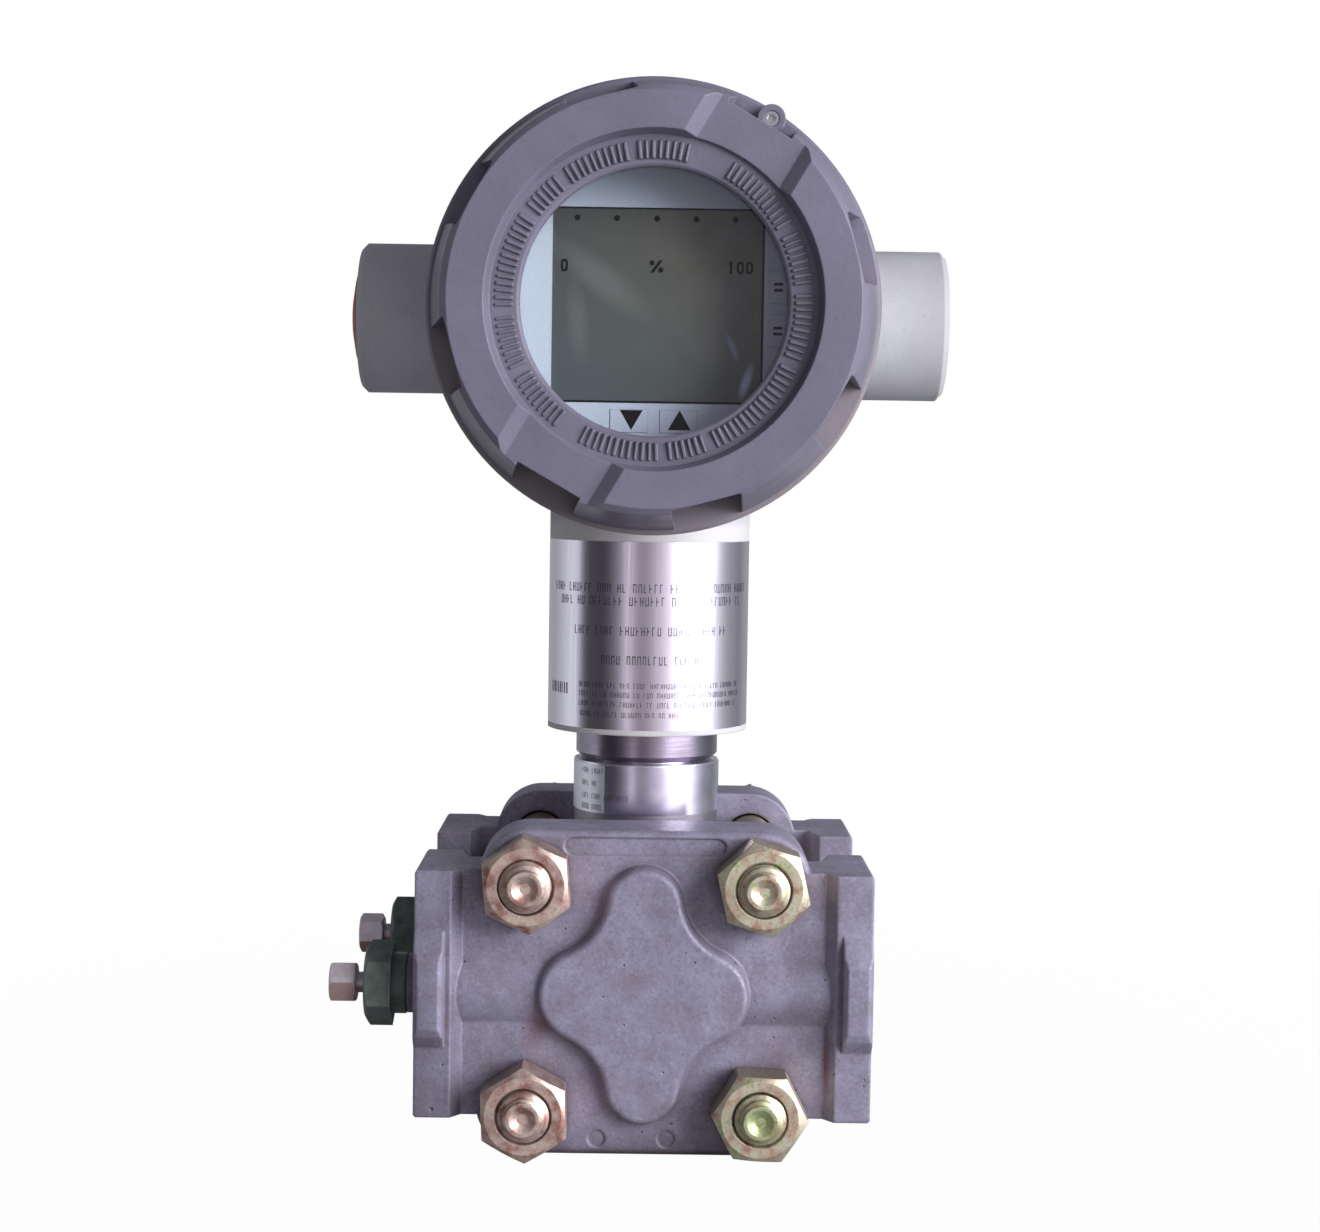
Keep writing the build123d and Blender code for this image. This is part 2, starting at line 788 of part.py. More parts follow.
def make_front_cap():
    """The window cap: face ring, wrench groove, pockets, glass seat and skirt."""
    base = -housing_front
    cap = turned_y(cap_outline(front_cap_depth, -1))
    ring_front = base - cap_ring_length
    cap = cut_pockets(cap, cap_front_y, ring_front)
    recess_floor = cap_front_y + face_recess
    seat_y = recess_floor + window_lip
    skirt_bore = cap_skirt_radius - cap_skirt_wall
    opening = turned_y(
        [
            (0, cap_front_y - 1),
            (face_inner_radius, cap_front_y - 1),
            (face_inner_radius, cap_front_y),
            (face_inner_radius - face_recess_wall, recess_floor - 0.5),
            (window_radius + 0.5, recess_floor),
            (window_radius, recess_floor + 0.5),
            (window_radius, seat_y),
            (glass_radius + 0.2, seat_y),
            (glass_radius + 0.2, seat_y + glass_gasket + glass_thickness + retainer_thickness),
            (skirt_bore, seat_y + glass_gasket + glass_thickness + retainer_thickness),
            (skirt_bore, base + cap_skirt_length + 1),
            (0, base + cap_skirt_length + 1),
        ]
    )
    cap = cap - opening
    reach = cap_ring_radius + 2
    groove_profile = Polyline(
        (-groove_width / 2, cap_front_y + groove_depth),
        (groove_width / 2, cap_front_y + groove_depth),
        (groove_width / 2 + groove_draft, cap_front_y - 0.01),
        (groove_width / 2 + groove_draft, cap_front_y - 1),
        (-groove_width / 2 - groove_draft, cap_front_y - 1),
        (-groove_width / 2 - groove_draft, cap_front_y - 0.01),
        close=True,
    )
    groove = Pos(0, 0, -reach) * extrude(make_face(groove_profile), 2 * reach)
    cap = cap - Pos(0, 0, cap_axis_height) * (Rot(0, 90 - groove_angle, 0) * groove)
    x, z = lock_place()
    cap = cap + rod_y(ring_front - lock_lug_rise, base - cap_edge, lock_lug_radius, x, z)
    return cap - rod_y(ring_front - lock_lug_rise - 1, base + 1, lock_screw_radius + running_gap, x, z)


def make_lock_screw():
    """The hexagon-socket set screw that locks the front cap to the housing."""
    x, z = lock_place()
    front = -housing_front - cap_ring_length - lock_lug_rise + lock_screw_inset
    rear = -housing_front - running_gap
    screw = rod_y(front, rear, lock_screw_radius, x, z)
    socket_end = front + lock_screw_socket_depth
    socket = hex_y(front - 1, socket_end, lock_screw_socket, x, z, lock_screw_turn, [])
    return screw - socket


def make_rear_cap():
    """The blind cap over the terminal chamber."""
    cap = turned_y(cap_outline(rear_cap_depth, 1))
    ring_front = housing_rear + cap_ring_length
    cap = cut_pockets(cap, cap_rear_y, ring_front)
    skirt_bore = cap_skirt_radius - cap_skirt_wall
    room = rod_y(
        housing_rear - cap_skirt_length - 1, cap_rear_y - rear_cap_wall, skirt_bore, 0, cap_axis_height
    )
    cap = cap - room
    dish = turned_y(
        [
            (0, cap_rear_y + 1),
            (face_inner_radius, cap_rear_y + 1),
            (face_inner_radius - 1, cap_rear_y - 1.2),
            (0, cap_rear_y - 1.2),
        ]
    )
    return cap - dish


def make_seal(base, mirror_sign):
    """The O-ring at the root of a cap's skirt, flattened against its mouth."""
    inner = cap_skirt_radius - cap_seal_section + 0.2 + running_gap
    outer = cap_skirt_radius - 0.02
    y_a = base - mirror_sign * running_gap
    y_b = base - mirror_sign * (cap_seal_section + 0.1)
    bow = 0.5
    return turned_y(
        [
            (inner, y_a - mirror_sign * bow),
            (inner + bow, y_a),
            (outer - bow, y_a),
            (outer, y_a - mirror_sign * bow),
            (outer, y_b + mirror_sign * bow),
            (outer - bow, y_b),
            (inner + bow, y_b),
            (inner, y_b + mirror_sign * bow),
        ]
    )


def make_window_parts():
    """Gasket, glass and retaining ring, from the cap's seat inwards."""
    seat = cap_front_y + face_recess + window_lip
    gasket = turned_y(
        [
            (window_radius + 1, seat),
            (glass_radius, seat),
            (glass_radius, seat + glass_gasket),
            (window_radius + 1, seat + glass_gasket),
        ]
    )
    front = seat + glass_gasket
    glass = rod_y(front, front + glass_thickness, glass_radius, 0, cap_axis_height)
    glass = chamfer(glass.edges(), 0.5)
    back = front + glass_thickness
    ring = turned_y(
        [
            (retainer_bore, back),
            (glass_radius + 0.2 - thread_gap, back),
            (glass_radius + 0.2 - thread_gap, back + retainer_thickness),
            (retainer_bore, back + retainer_thickness),
        ]
    )
    for angle in (0, 90):
        notch = Rot(0, angle, 0) * Box(2 * glass_radius + 4, retainer_notch, retainer_notch)
        ring = ring - Pos(0, back + retainer_thickness, cap_axis_height) * notch
    return gasket, glass, ring


def key_places():
    """Centre and size of each of the four keys."""
    places = [(x, bottom_key_z, bottom_key_size) for x in bottom_key_x]
    places += [(side_key_x, z, side_key_size) for z in side_key_z]
    return places


def make_display_parts():
    """Face plate, liquid-crystal panel, keys, board and case of the display."""
    front = -face_front
    back = front + face_thickness
    plate = rod_y(front, back, face_radius, 0, cap_axis_height)
    half_w = lcd_width / 2
    half_h = lcd_height / 2
    mid_z = cap_axis_height + lcd_offset_z
    plate = plate - block(
        lcd_offset_x - half_w, lcd_offset_x + half_w, front - 1, back + 1, mid_z - half_h, mid_z + half_h
    )
    keys = []
    for x, z, size in key_places():
        hole = block(
            x - size[0] / 2 - running_gap, x + size[0] / 2 + running_gap, front - 1, back + 1,
            cap_axis_height + z - size[1] / 2 - running_gap, cap_axis_height + z + size[1] / 2 + running_gap,
        )
        plate = plate - hole
        key = block(
            x - size[0] / 2, x + size[0] / 2, front - key_rise, back - running_gap,
            cap_axis_height + z - size[1] / 2, cap_axis_height + z + size[1] / 2,
        )
        keys.append(chamfer(key.faces().sort_by(Axis.Y)[0].edges(), 0.1))
    panel = block(
        lcd_offset_x - half_w + thread_gap, lcd_offset_x + half_w - thread_gap,
        front + lcd_set_back, back + key_travel + running_gap,
        mid_z - half_h + thread_gap, mid_z + half_h - thread_gap,
    )
    board_front = back + key_travel + running_gap
    board = rod_y(board_front, board_front + display_board_thickness, face_radius, 0, cap_axis_height)
    case_back = front + display_case_length
    case = turned_y(
        [
            (face_radius + thread_gap, front),
            (display_case_radius, front),
            (display_case_radius, case_back),
            (0, case_back),
            (0, case_back - display_case_wall),
            (display_case_radius - display_case_wall, case_back - display_case_wall),
            (display_case_radius - display_case_wall, board_front + display_board_thickness),
            (face_radius + thread_gap, board_front + display_board_thickness),
        ]
    )
    return plate, panel, keys, board, case


def make_electronics():
    """Potted sensor module, main board, its connector and the pillars to the display."""
    back = -wall_front
    front = back - module_length
    module = rod_y(front, back, module_radius, 0, cap_axis_height)
    module = chamfer(module.edges(), module_corner)
    board_back = front - 0.5
    board_front = board_back - board_thickness
    board = rod_y(board_front, board_back, board_radius, 0, cap_axis_height)
    pillars = []
    for angle in board_post_angles:
        x = board_post_circle * math.cos(math.radians(angle))
        z = cap_axis_height + board_post_circle * math.sin(math.radians(angle))
        module = module - rod_y(front - 1, back + 1, board_post_radius + running_gap, x, z)
        board = board - rod_y(board_front - 1, board_back + 1, post_bore_radius + running_gap, x, z)
        pillar = hex_y(-face_front + display_case_length, board_front, pillar_across_flats, x, z, 0, [])
        stud = rod_y(
            board_front - 0.5, board_front + pillar_stud_length, post_bore_radius - thread_gap, x, z
        )
        pillars.append(pillar + stud)
    length, width, height = connector_size
    plug = block(
        -length / 2, length / 2, board_front - height, board_front,
        cap_axis_height - width / 2, cap_axis_height + width / 2,
    )
    return module, board, plug, Compound(children=pillars)


def make_terminal_parts():
    """Terminal block with its screws, washers and earth screw in the rear chamber."""
    floor = -wall_front + wall_thickness
    top = housing_rear - cap_skirt_length - terminal_seat
    bottom = top - terminal_thickness
    body = turned_y(
        [
            (0, floor),
            (terminal_radius - terminal_step, floor),
            (terminal_radius - terminal_step, bottom),
            (terminal_radius, bottom),
            (terminal_radius, top),
            (0, top),
        ]
    )
    screws = []
    places = [((i - 1) * terminal_screw_spacing, terminal_row_rise) for i in range(3)]
    places.append((0, -earth_screw_drop))
    for x, dz in places:
        z = cap_axis_height + dz
        body = body - rod_y(
            top - terminal_screw_length - 1, top + 1, terminal_screw_radius + thread_gap, x, z
        )
        washer_top = top + terminal_washer_height
        head_top = washer_top + terminal_screw_head_height
        screw = rod_y(top - terminal_screw_length, washer_top + 0.5, terminal_screw_radius, x, z)
        washer = rod_y(top, washer_top, terminal_washer_radius, x, z)
        head = rod_y(washer_top, head_top, terminal_screw_head_radius, x, z)
        slot = Pos(x, head_top, z) * Box(2 * terminal_screw_head_radius, 2 * slot_depth, slot_width)
        screws.append(screw + washer + head - slot)
    for i in range(4):
        x = (i - 1.5) * terminal_screw_spacing
        row_z = cap_axis_height + terminal_row_rise
        rib = block(
            x - terminal_rib_width / 2, x + terminal_rib_width / 2, top - 0.5, top + terminal_rib_rise,
            row_z - terminal_rib_reach, row_z + terminal_rib_reach,
        )
        body = body + rib
    return body, Compound(children=screws)


def make_dust_plug():
    """The moulded plastic plug pushed into the left conduit entry."""
    face = -boss_span / 2
    shank = conduit_radius - running_gap
    return turned_x(
        [
            (face - dust_plug_dome, 0),
            (face - dust_plug_dome * 0.86, dust_plug_flange_radius * 0.45),
            (face - dust_plug_dome * 0.5, dust_plug_flange_radius * 0.82),
            (face, dust_plug_flange_radius),
            (face, shank),
            (face + dust_plug_length, shank - 0.4),
            (face + dust_plug_length, shank - dust_plug_wall),
            (face + dust_plug_wall, shank - dust_plug_wall),
            (face + dust_plug_wall, 0),
        ],
        0,
        cap_axis_height,
    )


os.makedirs("parts", exist_ok=True)


def save(shape, name):
    """Write one named piece."""
    export_step(shape, f"parts/{name}.step")


front_head = make_head()
save(front_head, "process_head_front")
save(mirror(front_head, about=Plane.XZ), "process_head_rear")
front_gasket = make_gasket()
save(front_gasket, "head_gasket_front")
save(mirror(front_gasket, about=Plane.XZ), "head_gasket_rear")
front_diaphragm = make_diaphragm()
save(front_diaphragm, "diaphragm_front")
save(mirror(front_diaphragm, about=Plane.XZ), "diaphragm_rear")
save(make_meter_body(), "meter_body")
save(make_sensor_header(), "sensor_header")
save(Compound(children=[make_bolt(x, z) for x, z in bolt_places]), "head_bolts")
nuts = [make_nut(x, z, turn) for (x, z), turn in zip(bolt_places, nut_turns)]
save(Compound(children=nuts), "head_nuts")
for i, name in enumerate(("front", "rear")):
    place = (2 * i - 1) * port_y
    plug, bushing, screw = make_vent_parts(place, bush_turns[i], vent_head_turns[i])
    save(plug, f"port_plug_{name}")
    save(bushing, f"vent_bushing_{name}")
    save(screw, f"vent_screw_{name}")
save(make_lock_ring(), "lock_ring")
save(make_neck_label(), "neck_label")
save(make_foil(), "foil_sleeve")
save(make_housing(), "housing_body")
save(make_front_cap(), "front_cap")
save(make_lock_screw(), "cap_lock_screw")
save(make_rear_cap(), "rear_cap")
save(make_seal(-housing_front, -1), "front_cap_seal")
save(make_seal(housing_rear, 1), "rear_cap_seal")
window_gasket, glass, retainer = make_window_parts()
save(window_gasket, "window_gasket")
save(glass, "window_glass")
save(retainer, "glass_retainer")
face_plate, lcd, keys, display_board, display_case = make_display_parts()
save(face_plate, "display_face")
save(lcd, "lcd_panel")
save(display_board, "display_board")
save(display_case, "display_case")
for key, name in zip(keys, key_names):
    save(key, name)
module, main_board, connector, pillars = make_electronics()
save(module, "sensor_module")
save(main_board, "main_board")
save(connector, "board_connector")
save(pillars, "display_pillars")
terminal_block, terminal_screws = make_terminal_parts()
save(terminal_block, "terminal_block")
save(terminal_screws, "terminal_screws")
save(make_dust_plug(), "dust_plug")
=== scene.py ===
import math
import random

import bmesh
import bpy
from mathutils import Matrix, Vector


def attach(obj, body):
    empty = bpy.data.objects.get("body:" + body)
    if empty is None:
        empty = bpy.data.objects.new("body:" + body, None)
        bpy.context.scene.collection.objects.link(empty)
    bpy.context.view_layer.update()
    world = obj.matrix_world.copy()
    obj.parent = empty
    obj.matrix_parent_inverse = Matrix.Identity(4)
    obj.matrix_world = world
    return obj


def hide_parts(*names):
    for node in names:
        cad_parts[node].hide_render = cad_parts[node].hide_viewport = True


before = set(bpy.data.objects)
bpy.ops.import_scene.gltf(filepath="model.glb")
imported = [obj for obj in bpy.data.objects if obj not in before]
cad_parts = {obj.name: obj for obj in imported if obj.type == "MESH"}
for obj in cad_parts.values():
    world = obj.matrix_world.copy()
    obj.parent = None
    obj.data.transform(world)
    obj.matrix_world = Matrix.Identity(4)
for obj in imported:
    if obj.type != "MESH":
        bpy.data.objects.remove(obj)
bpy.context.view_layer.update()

# Process heads: two sand-cast stainless blocks that clamp the meter body. The castings are
# left as blasted, so they keep a fine grain, blow holes and brown stains, and only the port
# faces are machined. Shade in their inner corners is painted in.
MM = 0.001


def shade(red, green, blue):
    """A colour from 0 to 255 a channel, as the linear value that a shader takes."""
    shares = [c / 255 for c in (red, green, blue)]
    linear = [s / 12.92 if s < 0.0405 else ((s + 0.055) / 1.055) ** 2.4 for s in shares]
    return (*linear, 1.0)


def start_finish(name, metallic=0.0, roughness=0.5, **sockets):
    """A new material, its node tree and its surface shader."""
    material = bpy.data.materials.new(name)
    material.use_nodes = True
    tree = material.node_tree
    surface = tree.nodes["Principled BSDF"]
    surface.inputs["Metallic"].default_value = metallic
    surface.inputs["Roughness"].default_value = roughness
    for socket, value in sockets.items():
        surface.inputs[socket.replace("_", " ")].default_value = value
    return material, tree, surface


def add(tree, kind, inputs=None, **settings):
    """A shader node with its settings, and its inputs as values or as other nodes' outputs."""
    node = tree.nodes.new("ShaderNode" + kind)
    for name, value in settings.items():
        setattr(node, name, value)
    for name, value in (inputs or {}).items():
        if isinstance(value, bpy.types.NodeSocket):
            tree.links.new(value, node.inputs[name])
        else:
            node.inputs[name].default_value = value
    return node


def place(tree, stretch=(1, 1, 1)):
    """Where a point of the surface lies on its piece, in metres, stretched along the axes."""
    where = add(tree, "TexCoord").outputs["Object"]
    if stretch == (1, 1, 1):
        return where
    return add(tree, "VectorMath", {0: where, 1: stretch}, operation="MULTIPLY").outputs[0]


def grain(tree, size, detail=2.0, stretch=(1, 1, 1), offset=0.0):
    """Soft lumps about size millimetres across, from 0 to 1."""
    where = place(tree, stretch)
    if offset:
        where = add(tree, "VectorMath", {0: where, 1: (offset, offset, offset)}, operation="ADD").outputs[0]
    noise = add(tree, "TexNoise", {"Vector": where, "Scale": 1 / (size * MM), "Detail": detail})
    return noise.outputs["Fac"]


def pits(tree, spacing, share, keep):
    """Small round pits: spacing in millimetres, pit width as a share of it, and how many are kept."""
    cells = add(tree, "TexVoronoi", {"Vector": place(tree), "Scale": 1 / (spacing * MM)})
    near = add(tree, "MapRange", {"Value": cells.outputs["Distance"], "From Min": share, "From Max": share * 0.5})
    lucky = add(tree, "SeparateColor", {0: cells.outputs["Color"]}).outputs[0]
    chosen = add(tree, "Math", {0: lucky, 1: keep}, operation="LESS_THAN").outputs[0]
    return add(tree, "Math", {0: near.outputs[0], 1: chosen}, operation="MULTIPLY").outputs[0]


def spot(tree, centre, half_sizes, slant=0.0):
    """1 at a point of the part, falling to 0 over the half sizes, tilted by slant in degrees. Sizes in mm."""
    where = add(tree, "Mapping", {
        "Vector": place(tree), "Location": [c * MM for c in centre],
        "Rotation": (0.0, -math.radians(slant), 0.0), "Scale": [c * MM for c in half_sizes],
    }, vector_type="TEXTURE")
    return add(tree, "TexGradient", {"Vector": where.outputs[0]}, gradient_type="SPHERICAL").outputs["Fac"]


def ramp(tree, factor, stops):
    """A colour for each value of factor, from (place, colour) stops."""
    node = add(tree, "ValToRGB", {"Fac": factor})
    elements = node.color_ramp.elements
    while len(elements) < len(stops):
        elements.new(1.0)
    for element, (position, colour) in zip(elements, stops):
        element.position = position
        element.color = colour
    return node.outputs["Color"]


def mix(tree, factor, first, second, how="MIX"):
    """Two colours mixed by a factor from 0 to 1."""
    node = add(tree, "Mix", data_type="RGBA", blend_type=how)
    for index, value in ((0, factor), (6, first), (7, second)):
        if isinstance(value, bpy.types.NodeSocket):
            tree.links.new(value, node.inputs[index])
        else:
            node.inputs[index].default_value = value
    return node.outputs[2]


def span(tree, value, low, high, out_low=0.0, out_high=1.0):
    """A value carried from one range to another and held inside it."""
    limits = {"Value": value, "From Min": low, "From Max": high, "To Min": out_low, "To Max": out_high}
    return add(tree, "MapRange", limits).outputs[0]


def relief(tree, height, depth, below=None):
    """A normal from a height of 0 to 1 that stands depth millimetres high."""
    inputs = {"Height": height, "Distance": depth * MM, "Strength": 1.0}
    if below is not None:
        inputs["Normal"] = below
    return add(tree, "Bump", inputs).outputs["Normal"]


def soft_edge(tree, radius):
    """A normal that rolls over sharp edges, as a blasted or plated edge does."""
    return add(tree, "Bevel", {"Radius": radius * MM}, samples=6).outputs["Normal"]


def edge_wear_and_highlight(tree, radius):
    """1 on sharp edges, 0 on flat ground: a mask for pale wear and for painted highlights on edges."""
    bent = add(tree, "Bevel", {"Radius": radius * MM}, samples=6).outputs["Normal"]
    straight = add(tree, "NewGeometry").outputs["True Normal"]
    same = add(tree, "VectorMath", {0: bent, 1: straight}, operation="DOT_PRODUCT").outputs["Value"]
    return span(tree, same, 0.80, 0.985, 1.0, 0.0)


def corner_shade(tree, reach):
    """1 in the open, towards 0 in inner corners within reach millimetres, as a mask for painted shade."""
    return add(tree, "AmbientOcclusion", {"Distance": reach * MM}, samples=8).outputs["AO"]


def dress(node_names, material):
    """Give carried-over pieces their finish."""
    for name in node_names:
        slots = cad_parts[name].data.materials
        slots.clear()
        slots.append(material)


rust_tone = shade(132, 92, 98)
rust_marks = (
    ((-22.0, -38.0, 27.0), (3.5, 8.0, 6.5), -25.0, 0.6), ((38.5, -39.0, 20.0), (1.1, 6.0, 9.0), 0.0, 0.8),
    ((-31.0, -39.0, 57.0), (6.0, 6.0, 5.0), 40.0, 0.45), ((-2.0, -43.0, 38.0), (6.0, 8.0, 2.5), 0.0, 0.25),
)
# Soil and painted shade: grey marks on the heads. Those darkening the left flange's face towards its outer edge, its
# lit inner wall and the bottom of the heads are painted shade.
soil_and_shade_tone = shade(88, 80, 90)
soil_and_shade_marks = (
    ((-47.0, -38.0, 24.0), (9.0, 14.0, 40.0), 0.0, 0.45), ((8.0, -38.0, 0.0), (48.0, 14.0, 8.0), 0.0, 0.5),
    ((34.0, -36.0, 34.0), (7.0, 10.0, 22.0), 0.0, 0.3), ((-39.8, -37.0, 26.0), (2.4, 9.0, 32.0), 0.0, 0.4),
)


def cast_steel_finish():
    """Blasted cast stainless steel, grey with a violet cast, stained brown in places."""
    material, tree, surface = start_finish("cast_steel", metallic=0.3, roughness=0.55)
    mottle = grain(tree, 6.0, 5.0)
    colour = ramp(tree, mottle, [
        (0.32, shade(146, 140, 159)), (0.50, shade(157, 152, 174)), (0.68, shade(167, 164, 187)),
    ])
    speckle = grain(tree, 0.7, 3.0)
    colour = mix(tree, span(tree, speckle, 0.55, 0.75, 0.0, 0.4), colour, shade(96, 86, 98))
    colour = mix(tree, span(tree, speckle, 0.42, 0.28, 0.0, 0.32), colour, shade(204, 202, 216))
    stain = span(tree, grain(tree, 11.0, 5.0, offset=0.031), 0.57, 0.74, 0.0, 0.35)
    colour = mix(tree, stain, colour, shade(138, 112, 118))
    # Rust stains, then the grey soil and painted-shade marks.
    for tone, marks in ((rust_tone, rust_marks), (soil_and_shade_tone, soil_and_shade_marks)):
        for centre, half_sizes, slant, strength in marks:
            mark = span(tree, spot(tree, centre, half_sizes, slant), 0.0, 0.8, 0.0, strength)
            colour = mix(tree, mark, colour, tone)
    small_holes = pits(tree, 2.1, 0.15, 0.14)
    large_holes = pits(tree, 6.3, 0.08, 0.30)
    holes = add(tree, "Math", {0: small_holes, 1: large_holes}, operation="MAXIMUM").outputs[0]
    colour = mix(tree, span(tree, holes, 0.0, 1.0, 0.0, 0.7), colour, shade(66, 54, 60))
    # Painted shade: the inner corners darkened to a brownish grey.
    corner = span(tree, corner_shade(tree, 5.0), 0.35, 0.9, 0.65, 0.0)
    colour = mix(tree, corner, colour, shade(84, 62, 64))
    # Painted highlight: the sharp edges made pale, as if catching the light.
    colour = mix(tree, span(tree, edge_wear_and_highlight(tree, 0.6), 0.1, 0.9, 0.0, 0.5), colour, shade(206, 204, 222))
    tree.links.new(colour, surface.inputs["Base Color"])
    tree.links.new(span(tree, speckle, 0.2, 0.8, 0.42, 0.66), surface.inputs["Roughness"])
    skin = relief(tree, grain(tree, 7.0, 2.0), 0.25, soft_edge(tree, 0.9))
    skin = relief(tree, grain(tree, 1.6, 3.0), 0.07, skin)
    skin = relief(tree, speckle, 0.05, skin)
    height = add(tree, "Math", {0: 1.0, 1: holes}, operation="SUBTRACT").outputs[0]
    tree.links.new(relief(tree, height, 0.12, skin), surface.inputs["Normal"])
    return material


cast_steel = cast_steel_finish()
dress(["process_head_front", "process_head_rear"], cast_steel)

# Meter body: a turned stainless cell between the heads, in one with the neck that carries
# the housing. The neck keeps the fine rings of the tool and shines like the foil above it.
# The diaphragms, the gaskets and the potted header sit inside it.
foot_heights = (72.0, 68.5)
foot_roughness = 0.2


def turned_steel_finish(name, tone, roughness, ring_size, depth):
    """Bright steel with the tool's fine rings about the upright axis, darker and rougher low down by the heads."""
    material, tree, surface = start_finish(name, metallic=1.0, roughness=roughness)
    rings = grain(tree, ring_size, 3.0, stretch=(0.04, 0.04, 1.0))
    soil = grain(tree, 6.0, 4.0)
    low = tuple(c * 0.80 for c in tone[:3]) + (1.0,)
    colour = mix(tree, span(tree, rings, 0.3, 0.7, 0.0, 0.7), tone, low)
    colour = mix(tree, span(tree, soil, 0.45, 0.7, 0.0, 0.25), colour, shade(126, 112, 122))
    gloss = span(tree, soil, 0.3, 0.75, roughness - 0.05, roughness + 0.14)
    height = add(tree, "SeparateXYZ", {0: place(tree)}).outputs["Z"]
    # Darker and rougher in a band at the foot of the neck, by the heads.
    low_band = span(tree, height, foot_heights[0] * MM, foot_heights[1] * MM, 0.0, foot_roughness)
    colour = mix(tree, span(tree, low_band, 0.0, foot_roughness, 0.0, 0.7), colour, shade(112, 105, 118))
    tree.links.new(colour, surface.inputs["Base Color"])
    tree.links.new(add(tree, "Math", {0: gloss, 1: low_band}, operation="ADD").outputs[0], surface.inputs["Roughness"])
    tree.links.new(relief(tree, rings, depth, soft_edge(tree, 0.25)), surface.inputs["Normal"])
    return material


def plain_finish(name, tone, metallic, roughness, mottle_size=3.0, contrast=0.2, depth=0.01):
    """A plain made surface with a slight unevenness of tone and gloss."""
    material, tree, surface = start_finish(name, metallic=metallic, roughness=roughness)
    cloud = grain(tree, mottle_size, 3.0)
    low = tuple(c * (1 - contrast) for c in tone[:3]) + (1.0,)
    tree.links.new(mix(tree, span(tree, cloud, 0.3, 0.7), tone, low), surface.inputs["Base Color"])
    tree.links.new(span(tree, cloud, 0.3, 0.7, roughness - 0.04, roughness + 0.06), surface.inputs["Roughness"])
    fine = grain(tree, mottle_size * 0.15, 2.0)
    tree.links.new(relief(tree, fine, depth, soft_edge(tree, 0.12)), surface.inputs["Normal"])
    return material


neck_steel = turned_steel_finish("neck_steel", shade(246, 242, 255), 0.27, 0.5, 0.004)
dress(["meter_body"], neck_steel)
dress(["diaphragm_front", "diaphragm_rear"], plain_finish("diaphragm_foil", shade(205, 205, 212), 1.0, 0.2, 2.0, 0.06))
dress(["head_gasket_front", "head_gasket_rear"], plain_finish("gasket_white", shade(226, 224, 214), 0.0, 0.6))
dress(["sensor_header"], plain_finish("potting", shade(52, 50, 48), 0.0, 0.45))

# Lock ring: a jam ring of the same steel, turned and left oily, so it has gone darker than
# the neck. It runs on the spigot's thread and holds the housing where it was turned to.
dress(["lock_ring"], turned_steel_finish("lock_ring_steel", shade(176, 166, 184), 0.22, 0.5, 0.012))

# Neck label: a strip of silver polyester foil with a pale printed field, stuck round the
# lower neck, one end standing off. The print is plain ticks and bars.
label_radius = 16.2
label_ink_lift = 0.04
label_field = (182.0, 235.8, 68.85, 79.35)
label_print = ((78.0, 207, 233), (75.2, 207, 230), (72.4, 207, 256), (70.0, 207, 231))
label_line = (1.2, 2.6)
stroke_share = 0.17
level_share = 0.13
first_group = 4
later_groups = (2, 8)
second_stroke_odds = 0.6
facet_angle = 3


def foil_label_finish():
    """Silver polyester foil with a soft sheen and small creases."""
    material, tree, surface = start_finish("foil_label", metallic=1.0, roughness=0.2)
    crease = grain(tree, 4.5, 3.0)
    colour = mix(tree, span(tree, crease, 0.35, 0.7), shade(240, 234, 252), shade(222, 216, 236))
    tree.links.new(colour, surface.inputs["Base Color"])
    tree.links.new(relief(tree, crease, 0.003), surface.inputs["Normal"])
    return material


def ink_finish(name, tone, shine):
    """Ink printed on foil, thin enough to let some of the foil's shine through."""
    material, tree, surface = start_finish(name, metallic=shine, roughness=0.3)
    worn = grain(tree, 0.7, 3.0)
    pale = tuple(min(1.0, c * 2.0) for c in tone[:3]) + (1.0,)
    tree.links.new(mix(tree, span(tree, worn, 0.45, 0.75), tone, pale), surface.inputs["Base Color"])
    return material


def bars_round_z(name, radius, bars, body, material):
    """Flat bars on a cylinder about the upright axis, from (start, end, low, high) in degrees and mm."""
    mesh = bmesh.new()
    for start, end, low, high in bars:
        steps = max(1, math.ceil((end - start) / facet_angle))
        ring = []
        for i in range(steps + 1):
            angle = math.radians(start + (end - start) * i / steps)
            x = radius * MM * math.cos(angle)
            y = radius * MM * math.sin(angle)
            ring.append((mesh.verts.new((x, y, low * MM)), mesh.verts.new((x, y, high * MM))))
        for (a, b), (c, d) in zip(ring, ring[1:]):
            mesh.faces.new((a, c, d, b))
    return finish_piece(mesh, name, body, material)


def finish_piece(mesh, name, body, material, smooth=True, auto_angle=None):
    """Turn a built mesh into a piece that rides on a body."""
    bmesh.ops.recalc_face_normals(mesh, faces=mesh.faces)
    data = bpy.data.meshes.new(name)
    mesh.to_mesh(data)
    mesh.free()
    piece = bpy.data.objects.new(name, data)
    bpy.context.scene.collection.objects.link(piece)
    data.materials.append(material)
    for polygon in data.polygons:
        polygon.use_smooth = smooth
    if auto_angle:
        data.set_sharp_from_angle(angle=math.radians(auto_angle))
    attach(piece, body)
    return piece


